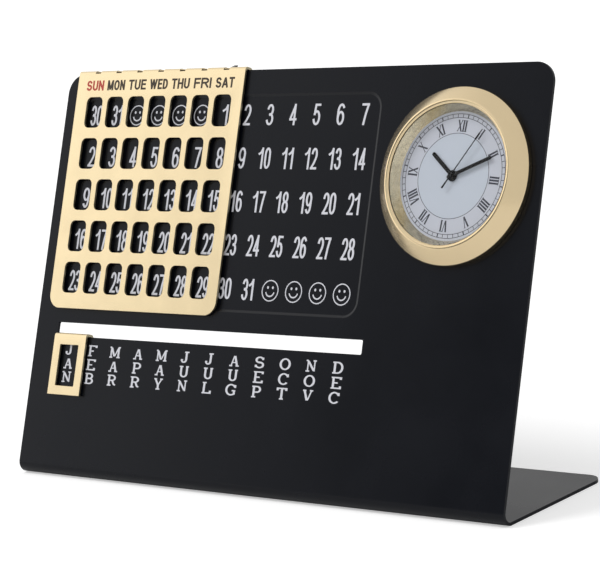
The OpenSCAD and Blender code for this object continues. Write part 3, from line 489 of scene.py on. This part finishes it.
def writtenWord(word, glyphs, face):
    # all strokes of a word set from x = 0, joined; the second value is the word's width
    polygons, x = [], 0
    side = face["penX"] / 2 if face["inset"] else 0
    tall = face["height"] - face["penY"]
    lightest = 0.8  # a light pen thins its level strokes no further
    for letter in word:
        width, strokes = glyphs[letter]
        inner = max(width * face["width"] - 2 * side, 0)
        left = x + side
        for stroke in strokes:
            weight, points = stroke if isinstance(stroke, tuple) else (1, stroke)
            placed = [(left + u * inner, face["penY"] / 2 + v * tall) for u, v in points]
            penX, penY = face["penX"] * weight, face["penY"] * max(weight, lightest)
            polygons += strokePolygons(placed, penX, penY, face["capped"])
        x = left + inner + side + face["gap"]
    return unionOf(polygons), x - face["gap"]


def printWord(shape, word, glyphs, face, x, s, height):
    # centred on x, with the middle of its height at s
    flat, width = writtenWord(word, glyphs, face)
    left, low = x - width / 2, s - face["height"] / 2
    addFlat(shape, flat, lambda px, py: (left + px, low + py), height, height + face["thick"])


# Day numbers and faces in the pressed field

dayPrint = {
    "height": 6.9, "width": 2.97, "penX": 0.79, "penY": 0.72, "gap": 0.2,
    "inset": True,  # the pen stays inside each figure's width
    "capped": True,  # strokes run half a pen past their ends
    "thick": 0.03,
}
tensPrint = dict(dayPrint, width=2.55, penX=0.76, gap=0.6)  # 10 to 19, whose 1 stands off
pairPrint = dict(dayPrint, width=2.52, penX=0.78)
smile = {
    "radius": 3.45, "line": 0.35, "eyeX": 1, "eyeY": 1, "eyeWide": 0.78, "eyeTall": 0.9,
    "mouth": 1.72, "mouthY": -0.1, "lip": 0.43, "thick": 0.03,
}
table = {
    "columns": 13,
    "rows": 5,
    "firstDays": (30, 31, 0, 0, 0, 0),  # before the first of the month; 0 is a smile
    "lastDay": 31,
    "pairShift": -0.2,
    "smileShift": -0.5,
    "tilt": -0.39,  # printed a touch askew, in degrees, about this x
    "tiltAbout": -56,
}
fieldFloor = -panel["fieldDepth"]
dayNumbers, smiles = newShape(), newShape()


def rowS(row):
    return panel["firstRow"] - row * panel["rowPitch"]


def tablePlace(row, column, shift):
    # where the print of a row and column falls on the field
    x = panel["firstColumn"] + column * panel["columnPitch"] + shift
    return x, rowS(row) + (x - table["tiltAbout"]) * math.tan(math.radians(table["tilt"]))


def dayAt(row, column):
    if row == 0 and column < len(table["firstDays"]):
        return table["firstDays"][column]
    day = 7 * row + column - 5  # a week further on in each row
    return day if day <= table["lastDay"] else 0


def smileShape():
    outer = smile["radius"] - smile["line"] / 2
    ring = strokePolygons(loop(0, 0, outer, outer), smile["line"], smile["line"])
    grin = arc(0, smile["mouthY"], smile["mouth"], smile["mouth"], 200, 340)
    eyes = []
    for side in (-1, 1):
        eye = arc(side * smile["eyeX"], smile["eyeY"], smile["eyeWide"] / 2, smile["eyeTall"] / 2, 0, 330)
        eyes.append(eye[::2])
    return unionOf(ring + strokePolygons(grin, smile["lip"], smile["lip"]) + eyes)


smileFlat = smileShape()
for row in range(table["rows"]):
    for column in range(table["columns"]):
        day = dayAt(row, column)
        if day:
            face = dayPrint if day < 10 else tensPrint if day < 20 else pairPrint
            x, s = tablePlace(row, column, 0 if day < 10 else table["pairShift"])
            printWord(dayNumbers, str(day), sansGlyphs, face, x, s, fieldFloor)
        else:
            x, s = tablePlace(row, column, table["smileShift"])
            top = fieldFloor + smile["thick"]
            addFlat(smiles, smileFlat, lambda px, py: (x + px, s + py), fieldFloor, top)
addPiece("day_numbers", dayNumbers, panelToWorld, "white_print", "dial_enamel")
addPiece("blank_day_smiles", smiles, panelToWorld, "white_print", "dial_enamel")

# Months under the slot, one letter below another

monthPrint = {
    "height": 3.7, "width": 3.65, "penX": 0.86, "penY": 0.44, "gap": 0, "inset": False,
    "capped": False, "thick": 0.03,
}
monthTable = {"firstColumn": -83.05, "columnPitch": 10.51, "letterS": (43.46, 38.8, 34.2)}
monthLetters = newShape()
for column, month in enumerate("JAN FEB MAR APR MAY JUN JUL AUG SEP OCT NOV DEC".split()):
    x = monthTable["firstColumn"] + monthTable["columnPitch"] * column
    for letter, s in zip(month, monthTable["letterS"]):
        printWord(monthLetters, letter, slabGlyphs, monthPrint, x, s, 0)
addPiece("month_letters", monthLetters, panelToWorld, "white_print", "dial_enamel")

# Weekdays on the day frame

weekdayPrint = {
    "height": 3.5, "width": 2.6, "penX": 0.74, "penY": 0.66, "gap": 0.32, "inset": True,
    "capped": True, "thick": 0.03,
}
weekdayRow = {"wordWide": 8, "firstX": -86.2, "pitch": 9.8, "s": 133.35, "frameFront": 1.4}
sunday, weekdays = newShape(), newShape()
for column, word in enumerate("SUN MON TUE WED THU FRI SAT".split()):
    narrow = weekdayRow["wordWide"] / writtenWord(word, sansGlyphs, weekdayPrint)[1]
    face = dict(weekdayPrint, width=weekdayPrint["width"] * narrow)
    x = weekdayRow["firstX"] + column * weekdayRow["pitch"]
    shape = weekdays if column else sunday
    printWord(shape, word, sansGlyphs, face, x, weekdayRow["s"], weekdayRow["frameFront"])
addPiece("sunday_letters", sunday, panelToWorld, "red_print", "hand_lacquer", "day_frame")
addPiece("weekday_letters", weekdays, panelToWorld, "dark_print", "hand_lacquer", "day_frame")
print("tables and weekdays printed")

# Dial print: railway track, inner circle and numerals with their feet to the middle

dialPrint = {
    "trackOut": 18.9, "trackIn": 17.75, "line": 0.17, "tick": 0.19, "hourTick": 0.38,
    "trackSteps": 120, "circle": 13, "circleLine": 0.16, "circleSteps": 96, "numeralMiddle": 15.25,
}
romanPrint = {
    "height": 3.55, "width": 2.75, "penX": 0.55, "penY": 0.2, "gap": 0.16, "inset": False,
    "capped": False, "thick": 0.02,
}
dialShape = newShape()


def turned(angle):
    # clockwise from the dial's twelve o'clock
    a = math.radians(angle + clock["dialTurn"])
    return lambda x, y: (x * math.cos(a) + y * math.sin(a), -x * math.sin(a) + y * math.cos(a))


def disc(radius, steps):
    return [onRing(radius, 360 * i / steps) for i in range(steps)]


def ringPolygons(radius, line, steps):
    points = disc(radius, steps)
    return strokePolygons(points + points[:1], line, line)


def printDial(flat, place):
    addFlat(dialShape, flat, place, clock["dialHeight"], clock["dialHeight"] + romanPrint["thick"])


trackIn, trackOut = dialPrint["trackIn"], dialPrint["trackOut"]
line, trackSteps = dialPrint["line"], dialPrint["trackSteps"]
track = ringPolygons(trackOut, line, trackSteps) + ringPolygons(trackIn, line, trackSteps)
for minute in range(60):
    half = (dialPrint["tick"] if minute % 5 else dialPrint["hourTick"]) / 2
    corners = [(-half, trackIn), (half, trackIn), (half, trackOut), (-half, trackOut)]
    track.append([turned(6 * minute)(x, y) for x, y in corners])
printDial(unionOf(track), turned(0))
circle = ringPolygons(dialPrint["circle"], dialPrint["circleLine"], dialPrint["circleSteps"])
printDial(unionOf(circle), turned(0))
for hour, word in enumerate("XII I II III IIII V VI VII VIII IX X XI".split()):
    flat, width = writtenWord(word, romanGlyphs, romanPrint)
    spin = turned(30 * hour)
    low = dialPrint["numeralMiddle"] - romanPrint["height"] / 2
    printDial(flat, lambda x, y: spin(x - width / 2, low + y))
addPiece("dial_print", dialShape, clockToWorld, "dial_print", "hand_lacquer")
print("dial printed")

# Marks printed on the clock's back: arrows round the knob, and closed and open for the battery cover

backMarks = {
    "thick": 0.03, "sunk": 0.01, "line": 0.36,
    "arrowHead": 1.9,  # half its width, in lines
    "fromKnob": 0.9, "arrows": ((20, 75), (200, 255)), "fromCover": 1.5, "closedR": 0.5,
    "closedAt": 90, "openR": 0.6, "openLine": 0.25, "openAt": 130,
    "pointer": (3.2, 5.3, 0.8),  # foot, tip and half its width
    "steps": 20,
}


def placed(node, toWorld):
    # the corners of a part as places on the face: (x, s, h)
    toFace = toWorld.inverted() @ node.matrix_world
    return [toFace @ v.co for v in node.data.vertices]


def spanOf(points, i):
    return min(p[i] for p in points), max(p[i] for p in points)


def middleAndHalf(node):
    points = placed(node, clockToWorld)
    (left, right), (low, high) = spanOf(points, 0), spanOf(points, 1)
    return ((left + right) / 2, (low + high) / 2), (right - left) / 2, (high - low) / 2


def roundArrow(radius, line, start, end):
    wide = backMarks["arrowHead"] * line
    tip = end + math.degrees(math.pi * line / radius)
    head = [onRing(radius - wide, end), onRing(radius + wide, end), onRing(radius, tip)]
    return strokePolygons(arc(0, 0, radius, radius, start, end), line, line, False) + [head]


def moved(polygons, x, y):
    return [[(px + x, py + y) for px, py in polygon] for polygon in polygons]


caseBack = spanOf(placed(nodes["clock_case"], clockToWorld), 2)[0]
knobMiddle, knobR, _ = middleAndHalf(nodes["setting_knob"])
coverMiddle, _, coverR = middleAndHalf(nodes["battery_cover"])
marks = []
for start, end in backMarks["arrows"]:
    arrow = roundArrow(knobR + backMarks["fromKnob"], backMarks["line"], start, end)
    marks += moved(arrow, *knobMiddle)
closedMark = [disc(backMarks["closedR"], backMarks["steps"])]
openMark = ringPolygons(backMarks["openR"], backMarks["openLine"], backMarks["steps"])
for mark, angle in ((closedMark, backMarks["closedAt"]), (openMark, backMarks["openAt"])):
    x, y = onRing(coverR + backMarks["fromCover"], angle)
    marks += moved(mark, coverMiddle[0] + x, coverMiddle[1] + y)
low, high, wide = backMarks["pointer"]
pointer = moved([[(-wide, low), (wide, low), (0, high)]], *coverMiddle)
printed = (("setting_and_cover_marks", marks, "stand"), ("cover_pointer", pointer, "battery_cover"))
for name, polygons, body in printed:
    shape = newShape()
    low, high = caseBack - backMarks["thick"], caseBack + backMarks["sunk"]
    addFlat(shape, unionOf(polygons), lambda x, y: (x, y), low, high)
    addPiece(name, shape, clockToWorld, "white_print", "dial_enamel", body)

# Spot welds that hold the click spring's foot to the panel's back

weldLook = {
    "count": 3, "radius": 0.42, "steps": 20, "first": 1.2, "pitch": 2.4, "proud": 0.06,
    "sunk": 0.02,
    "footTall": 1,  # of the spring's foot, searched for its back
}
spring = placed(nodes["click_spring"], panelToWorld)
springMiddle = sum(spanOf(spring, 0)) / 2
footLow = spanOf(spring, 1)[0]
footBack = min(p.z for p in spring if p.y < footLow + weldLook["footTall"])
welds = newShape()
for i in range(weldLook["count"]):
    s = footLow + weldLook["first"] + i * weldLook["pitch"]
    weld = moved([disc(weldLook["radius"], weldLook["steps"])], springMiddle, s)
    low, high = footBack - weldLook["proud"], footBack + weldLook["sunk"]
    addFlat(welds, unionOf(weld), lambda x, y: (x, y), low, high)
addPiece("spring_spot_welds", welds, panelToWorld, "blued_spring", "blued_spring")
print("clock's back marked, spring's foot welded")

# Folded gilt frames: a flat blank with its holes, bevelled and bent over the edge it hangs on


def roundedLoop(x0, x1, u0, u1, radius, rows=(), corners=4):
    # anticlockwise from the bottom right, with a point at each of the rows on both sides
    middles = (
        (x1 - radius, u0 + radius, -90),
        (x1 - radius, u1 - radius, 0),
        (x0 + radius, u1 - radius, 90),
        (x0 + radius, u0 + radius, 180),
    )
    loopPoints = []
    for cx, cu, start in middles:
        if radius > 0:
            for i in range(corners + 1):
                x, u = onRing(radius, start + 90 * i / corners)
                loopPoints.append((cx + x, cu + u))
        else:
            loopPoints.append((cx, cu))
        if start == -90:
            loopPoints += [(x1, u) for u in rows]
        if start == 90:
            loopPoints += [(x0, u) for u in reversed(rows)]
    return loopPoints


def foldStops(sheet):
    # how far along the blank the first fold starts and ends, and the second starts and ends
    outerR = sheet["foldR"] + sheet["thick"]
    quarter = math.pi / 2 * outerR
    flatTop = sheet["frontZ"] - sheet["rearZ"] - 2 * sheet["foldR"]
    start = sheet["foldS"]
    return start, start + quarter, start + quarter + flatTop, start + 2 * quarter + flatTop


def bendRows(sheet, steps=6):
    # cross lines along which the blank is bent, the same number in each fold
    stops = foldStops(sheet)
    quarter = stops[1] - stops[0]
    first = [stops[0] + quarter * i / steps for i in range(steps + 1)]
    return first + [u + stops[2] - stops[0] for u in first]


def bentPoint(sheet, stops, x, u, w):
    # where a point of the flat blank goes: u along it, and w out from its inner face
    foldS, foldR = sheet["foldS"], sheet["foldR"]
    outerR = foldR + sheet["thick"]
    frontArc, rearArc = sheet["frontZ"] - foldR, sheet["rearZ"] + foldR
    r = foldR + w
    if u <= stops[0]:
        return x, u, sheet["frontZ"] + w
    if u <= stops[1]:
        a = (u - stops[0]) / outerR
        return x, foldS + r * math.sin(a), frontArc + r * math.cos(a)
    if u <= stops[2]:
        return x, foldS + r, frontArc - (u - stops[1])
    if u <= stops[3]:
        a = (u - stops[2]) / outerR
        return x, foldS + r * math.cos(a), rearArc - r * math.sin(a)
    return x, foldS - (u - stops[3]), sheet["rearZ"] - w


def bentSheet(name, sheet, outline, holes, body, node):
    # outline and holes give (true loop, loop set in by the bevel)
    stops = foldStops(sheet)
    loops = [outline] + holes
    points, faces = [], []
    for _, inner in loops:
        faces.append(list(range(len(points), len(points) + len(inner))))
        points += [Vector(p) for p in inner]
    left, right = spanOf(outline[1], 0)
    bars = []
    for u in sheet["rows"]:
        bars.append((len(points), len(points) + 1))
        points += [Vector((left, u)), Vector((right, u))]
    flat, _, triangles, sources, _, owners = delaunay_2d_cdt(points, bars, faces, 1, tiny)
    kept = [list(t) for t, owner in zip(triangles, owners) if list(owner) == [0]]
    shape = newShape()
    count = len(flat)
    for w in (sheet["thick"], 0):
        shape["verts"] += [bentPoint(sheet, stops, v.x, v.y, w) for v in flat]
    shape["faces"] = kept + [[i + count for i in reversed(t)] for t in kept]
    became = {source: i for i, merged in enumerate(sources) for source in merged}
    for i, (true, _) in enumerate(loops):
        low = len(shape["verts"])
        for w in (sheet["thick"] - sheet["bevel"], sheet["bevel"]):
            shape["verts"] += [bentPoint(sheet, stops, x, u, w) for x, u in true]
        top = [became[j] for j in faces[i]]
        n = len(true)
        for j in range(n):
            k = (j + 1) % n
            rings = (
                (top[j], top[k]),
                (low + j, low + k),
                (low + n + j, low + n + k),
                (top[j] + count, top[k] + count),
            )
            for (a, b), (c, d) in zip(rings, rings[1:]):
                shape["faces"].append([a, c, d, b] if i == 0 else [a, b, d, c])
    piece = addPiece(name, shape, panelToWorld, "gilt_sheet", "gilt_sheet", body, sheet["smooth"])
    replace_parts(piece, node)


def loopPair(x0, x1, u0, u1, radius, bevel, rows=()):
    # a hole, and the same hole opened by the bevel
    opened = roundedLoop(x0 - bevel, x1 + bevel, u0 - bevel, u1 + bevel, radius + bevel, rows)
    return roundedLoop(x0, x1, u0, u1, radius, rows), opened


def sheetOutline(x0, x1, u0, u1, cornerR, bevel, rows):
    # round corners at the bottom of the front only
    pair = []
    for b, radius in ((0, cornerR), (bevel, max(cornerR - bevel, 0))):
        bottom = [(x1 - b, u0 + b), (x0 + b, u0 + b)]
        if radius:
            right = []
            for degrees in range(0, 91, 9):
                a = math.radians(degrees)
                x = x1 - b - radius + radius * math.sin(a)
                right.append((x, u0 + b + radius - radius * math.cos(a)))
            left = [(x0 + x1 - x, u) for x, u in reversed(right)]
        else:
            right, left = bottom[:1], bottom[1:]
        top = [(x1 - b, u1 - b), (x0 + b, u1 - b)]
        upRight = [(x1 - b, u) for u in rows]
        downLeft = [(x0 + b, u) for u in reversed(rows)]
        pair.append(right + upRight + top + downLeft + left)
    return tuple(pair)


frameSheet = {"thick": 0.9, "frontZ": 0.5, "rearZ": -1.3, "foldR": 0.25, "bevel": 0.08, "smooth": 38}
daySheet = dict(frameSheet, foldS=137.45)
daySheet["rows"] = bendRows(daySheet)
dayLook = {
    "left": -94.5, "right": -19.38, "bottom": 57.17, "cornerR": 4.6, "lipEnd": 131.6, "windows": 7,
    "firstWindow": -85.6, "windowRise": 1, "windowWide": 7.4, "windowTall": 10.5, "windowR": 1.9,
    "notchHalf": 1.15,
    "notchInset": 1.4,  # from the bend at either end, in bevels
    "notchReach": 0.3,
}
bevel = daySheet["bevel"]
dayRows = daySheet["rows"]
notchLow = dayRows[0] + dayLook["notchInset"] * bevel
notchHigh = dayRows[8] - dayLook["notchInset"] * bevel + dayLook["notchReach"]
notchRows = [u for u in dayRows if notchLow < u < notchHigh]
wide, tall = dayLook["windowWide"] / 2, dayLook["windowTall"] / 2
dayHoles = []
for column in range(dayLook["windows"]):
    x = dayLook["firstWindow"] + column * panel["columnPitch"]
    for row in range(table["rows"]):
        s = rowS(row) + dayLook["windowRise"]
        window = loopPair(x - wide, x + wide, s - tall, s + tall, dayLook["windowR"], bevel)
        dayHoles.append(window)
    half = dayLook["notchHalf"]
    dayHoles.append(loopPair(x - half, x + half, notchLow, notchHigh, 0, bevel, notchRows))
lipEnd = dayRows[-1] + daySheet["foldS"] - dayLook["lipEnd"]
dayEdge = (dayLook["left"], dayLook["right"], dayLook["bottom"], lipEnd)
dayOutline = sheetOutline(*dayEdge, dayLook["cornerR"], bevel, dayRows)
bentSheet("gilt_day_frame", daySheet, dayOutline, dayHoles, "day_frame", "day_frame")

monthSheet = dict(frameSheet, foldS=47.75)
monthSheet["rows"] = bendRows(monthSheet)
monthLook = {
    "middle": -82.3, "wide": 14.8, "bottom": 28, "hookEnd": 40.9, "windowWide": 8.6,
    "windowLow": 31, "windowHigh": 44.9, "windowR": 0.25,
}
middle = monthLook["middle"]
half, halfWindow = monthLook["wide"] / 2, monthLook["windowWide"] / 2
hookEnd = monthSheet["rows"][-1] + monthSheet["foldS"] - monthLook["hookEnd"]
monthEdge = (middle - half, middle + half, monthLook["bottom"], hookEnd)
monthOutline = sheetOutline(*monthEdge, 0, bevel, monthSheet["rows"])
windowEdge = (middle - halfWindow, middle + halfWindow, monthLook["windowLow"], monthLook["windowHigh"])
monthWindow = loopPair(*windowEdge, monthLook["windowR"], bevel)
bentSheet("gilt_month_frame", monthSheet, monthOutline, [monthWindow], "month_frame", "month_frame")
print("folded frames bent")

# Bezel turned from its profile of (radius, height), with a rolled lip round the lens

bezelLook = {
    "radius": 27.29, "chamfer": 0.15,
    "seat": 0.02,  # the ring stands this far off the panel
    "round": 0.8, "roundHeight": 1.6,
    "roundArc": range(0, 53, 7),  # degrees up from straight out
    "lipR": 22.4, "lipHalf": 1.05, "lipLow": 4.55, "lipTall": 0.95, "lipArc": range(49, 150, 7),
    "bore": 22.3, "lensTop": 5.2, "inner": 21.5,
    "lensEase": (0.1, 0.02),  # where the lip comes down on the lens
}


def turnedRing(name, profile, finish, steps=128, smoothAngle=35):
    shape = newShape()
    count = len(profile)
    for i in range(steps):
        a = 2 * math.pi * i / steps
        shape["verts"] += [(r * math.cos(a), r * math.sin(a), h) for r, h in profile]
    for i in range(steps):
        j = (i + 1) % steps
        for k in range(count):
            m = (k + 1) % count
            shape["faces"].append([i * count + k, j * count + k, j * count + m, i * count + m])
    return addPiece(name, shape, clockToWorld, finish, finish, "stand", smoothAngle)


outer, chamfer, seat = bezelLook["radius"], bezelLook["chamfer"], bezelLook["seat"]
bore, inner, lensTop = bezelLook["bore"], bezelLook["inner"], bezelLook["lensTop"]
profile = [(bore, seat), (outer - chamfer, seat), (outer, seat + chamfer)]
for degrees in bezelLook["roundArc"]:
    x, h = onRing(bezelLook["round"], degrees)
    profile.append((outer - bezelLook["round"] + x, bezelLook["roundHeight"] + h))
for degrees in bezelLook["lipArc"]:
    a = math.radians(degrees)
    r = bezelLook["lipR"] + bezelLook["lipHalf"] * math.cos(a)
    profile.append((r, bezelLook["lipLow"] + bezelLook["lipTall"] * math.sin(a)))
easeIn, easeUp = bezelLook["lensEase"]
profile += [(inner, lensTop + easeUp), (inner + easeIn, lensTop), (bore, lensTop)]
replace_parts(turnedRing("gilt_bezel_ring", profile, "gilt_bezel"), "clock_bezel")

# Second hand with its wider stretch near the tip

secondLook = {
    "low": 2.71, "thick": 0.2, "length": 17, "tail": 4.8, "half": 0.13, "tipHalf": 0.104,
    "tailHalf": 0.27,
    "dash": (13.2, 15.7, 0.24),  # start, end and half its width
    "dashPoint": 0.4, "bossR": 0.85, "bossSteps": 30, "angle": 30,
}
half, tipHalf, tailHalf = secondLook["half"], secondLook["tipHalf"], secondLook["tailHalf"]
tip, tail = secondLook["length"], -secondLook["tail"]
dashStart, dashEnd, dashHalf = secondLook["dash"]
dashTurn = dashEnd - secondLook["dashPoint"]
handPolygons = [
    [(-half, -1), (half, -1), (tipHalf, tip), (-tipHalf, tip)],
    [(-dashHalf, dashStart), (dashHalf, dashStart), (dashHalf, dashTurn),
     (tipHalf, dashEnd), (-tipHalf, dashEnd), (-dashHalf, dashTurn)],
    [(-half, 0), (-tailHalf, tail), (tailHalf, tail), (half, 0)],
    disc(secondLook["bossR"], secondLook["bossSteps"]),
]
handShape = newShape()
handTop = secondLook["low"] + secondLook["thick"]
addFlat(handShape, unionOf(handPolygons), turned(secondLook["angle"]), secondLook["low"], handTop)
lacquer = "hand_lacquer"
hand = addPiece("slim_second_hand", handShape, clockToWorld, lacquer, lacquer, "second_hand")
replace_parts(hand, "second_hand")

# Soft edge of the pressed field: a slope from the face down to the floor, closed underneath

fieldLook = {
    "left": -91.7, "right": 37.34, "bottom": 58.77, "top": 129.65, "cornerR": 5.5, "slope": 0.9,
    "steps": 5, "cornerSteps": 8, "sunk": 0.003, "under": 0.05, "smooth": 60,
}


def fieldRing(inset, height):
    left, right = fieldLook["left"] + inset, fieldLook["right"] - inset
    bottom, top = fieldLook["bottom"] + inset, fieldLook["top"] - inset
    cornerR, cornerSteps = fieldLook["cornerR"] - inset, fieldLook["cornerSteps"]
    loopPoints = roundedLoop(left, right, bottom, top, cornerR, (), cornerSteps)
    return [(x, s, height) for x, s in loopPoints]


edgeRings = []
for i in range(fieldLook["steps"] + 1):
    f = i / fieldLook["steps"]
    drop = panel["fieldDepth"] * (f * f * (3 - 2 * f))
    edgeRings.append(fieldRing(fieldLook["slope"] * f, -drop - fieldLook["sunk"]))
for inset in (fieldLook["slope"], 0):
    edgeRings.append(fieldRing(inset, fieldFloor - fieldLook["under"]))
edgeShape = newShape()
edgeShape["verts"] = [point for ring in edgeRings for point in ring]
count = len(edgeRings[0])
for i in range(len(edgeRings)):
    for j in range(count):
        k = (j + 1) % count
        a, b = i * count, (i + 1) % len(edgeRings) * count
        edgeShape["faces"].append([a + j, a + k, b + k, b + j])
# the edge ring takes the lighter, glossier copy of the black coat, a painted highlight line round the
# field
edgeLook = ("painted_highlight_edge", "black_coat", "stand", fieldLook["smooth"])
addPiece("pressed_field_edge", edgeShape, panelToWorld, *edgeLook)
print("bezel turned, second hand and field edge laid")

# Camera, stage and light

shot = {
    "lens": 151.5716, "azimuth": 40.766, "elevation": 10.5423, "roll": -6.486,
    "distance": 0.7540652, "target": (0.034546, -0.0274, 0.0691432),
}
azimuth, elevation, roll = (math.radians(shot[k]) for k in ("azimuth", "elevation", "roll"))
level = math.cos(elevation)
back = Vector((math.sin(azimuth) * level, -math.cos(azimuth) * level, math.sin(elevation)))
levelRight = Vector((0, 0, 1)).cross(back).normalized()
levelUp = back.cross(levelRight)
right = levelRight * math.cos(roll) + levelUp * math.sin(roll)
up = levelUp * math.cos(roll) - levelRight * math.sin(roll)
cameraData = bpy.data.cameras.new("camera")
cameraData.lens = shot["lens"]
cameraData.sensor_width = 36
cameraData.sensor_fit = "HORIZONTAL"
cameraData.clip_start = 0.01
cameraData.clip_end = 100
camera = bpy.data.objects.new("camera", cameraData)
place = Matrix.Translation(Vector(shot["target"]) + back * shot["distance"])
camera.matrix_world = place @ Matrix((right, up, back)).transposed().to_4x4()
bpy.context.scene.collection.objects.link(camera)
bpy.context.scene.camera = camera

floorLook = {
    "size": 16,
    "white": 0.76,
    "glow": 0.44,  # what the camera and glass see on top
    "glowInMetal": 0.04,
    "drop": 0.00005,
}
roomLook = {
    "light": 0.62,  # what the room adds to the lamp on plain surfaces
    "brightFrom": (-0.93, -0.3, 0.2),  # metal mirrors a room that is brightest here
    "levels": ((0, 0.66), (0.4, 0.68), (0.65, 0.78), (0.82, 0.94), (0.895, 1.12)),  # and falls off
    "darkFrom": (-0.43, -0.855, 0.28),  # with a dark stretch here
    "darkSpread": (0.948, 0.976),
    "darkLevel": 0.05,
}

floorMaterial, floorTree, floorShader = newFinish("white_floor")
white = (floorLook["white"],) * 3 + (1,)
fill(floorTree, floorShader, {"Base Color": white, "Roughness": 0.9, "Specular IOR Level": 0})
inMetal = betweenValues(floorTree, anyRay(floorTree, "Is Glossy Ray"), 0, floorLook["glowInMetal"])
shown = anyRay(floorTree, "Is Camera Ray", "Is Transmission Ray")
strength = betweenValues(floorTree, shown, inMetal, floorLook["glow"])
glow = addNode(floorTree, "ShaderNodeEmission", inputs={"Color": (1, 1, 1, 1), "Strength": strength})
halves = {0: floorShader.outputs["BSDF"], 1: glow.outputs["Emission"]}
both = addNode(floorTree, "ShaderNodeAddShader", inputs=halves)
fill(floorTree, floorTree.nodes["Material Output"], {"Surface": both.outputs["Shader"]})
side = floorLook["size"] / 2
corners = [(-side, -side, 0), (side, -side, 0), (side, side, 0), (-side, side, 0)]
floorMesh = bpy.data.meshes.new("floor")
floorMesh.from_pydata(corners, [], [(0, 1, 2, 3)])
floorMesh.materials.append(floorMaterial)
floor = bpy.data.objects.new("floor", floorMesh)
floor.location.z = -floorLook["drop"]
bpy.context.scene.collection.objects.link(floor)

world = bpy.data.worlds.new("studio")
bpy.context.scene.world = world
world.use_nodes = True
sky = world.node_tree
sky.nodes.clear()
direction = addNode(sky, "ShaderNodeTexCoord").outputs["Generated"]


def facing(place):
    # 1 straight towards this place in the room, falling to 0 square to it
    inputs = {0: direction, 1: Vector(place).normalized()}
    return addNode(sky, "ShaderNodeVectorMath", {"operation": "DOT_PRODUCT"}, inputs).outputs["Value"]


ramp = addNode(sky, "ShaderNodeValToRGB", inputs={"Fac": facing(roomLook["brightFrom"])})
while len(ramp.color_ramp.elements) < len(roomLook["levels"]):
    ramp.color_ramp.elements.new(0.5)
for stop, (position, level) in zip(ramp.color_ramp.elements, roomLook["levels"]):
    stop.position = position
    stop.color = (level, level, level, 1)
nearDark, inDark = roomLook["darkSpread"]
limits = {"From Min": nearDark, "From Max": inDark, "To Min": 1, "To Max": roomLook["darkLevel"]}
limits["Value"] = facing(roomLook["darkFrom"])
dimmed = addNode(sky, "ShaderNodeMapRange", inputs=limits)
room = maths(sky, "MULTIPLY", ramp.outputs["Color"], dimmed.outputs["Result"])
inMetal = betweenValues(sky, anyRay(sky, "Is Glossy Ray"), roomLook["light"], room)
shown = anyRay(sky, "Is Camera Ray", "Is Transmission Ray")
inputs = {"Color": (1, 1, 1, 1), "Strength": betweenValues(sky, shown, inMetal, 1)}
background = addNode(sky, "ShaderNodeBackground", inputs=inputs)
addNode(sky, "ShaderNodeOutputWorld", inputs={"Surface": background.outputs["Background"]})

lamp = {"from": (-0.5, -0.3, 0.81), "away": 0.5, "power": 1.2, "softness": 25}
sunData = bpy.data.lights.new("key", "SUN")
sunData.energy = lamp["power"]
sunData.angle = math.radians(lamp["softness"])
sun = bpy.data.objects.new("key", sunData)
sun.rotation_euler = Vector(lamp["from"]).to_track_quat("Z", "Y").to_euler()
sun.location = Vector(lamp["from"]) * lamp["away"]
sun.visible_glossy = False
bpy.context.scene.collection.objects.link(sun)

bpy.context.scene.view_settings.view_transform = "Standard"
print("camera, floor and lamps placed")
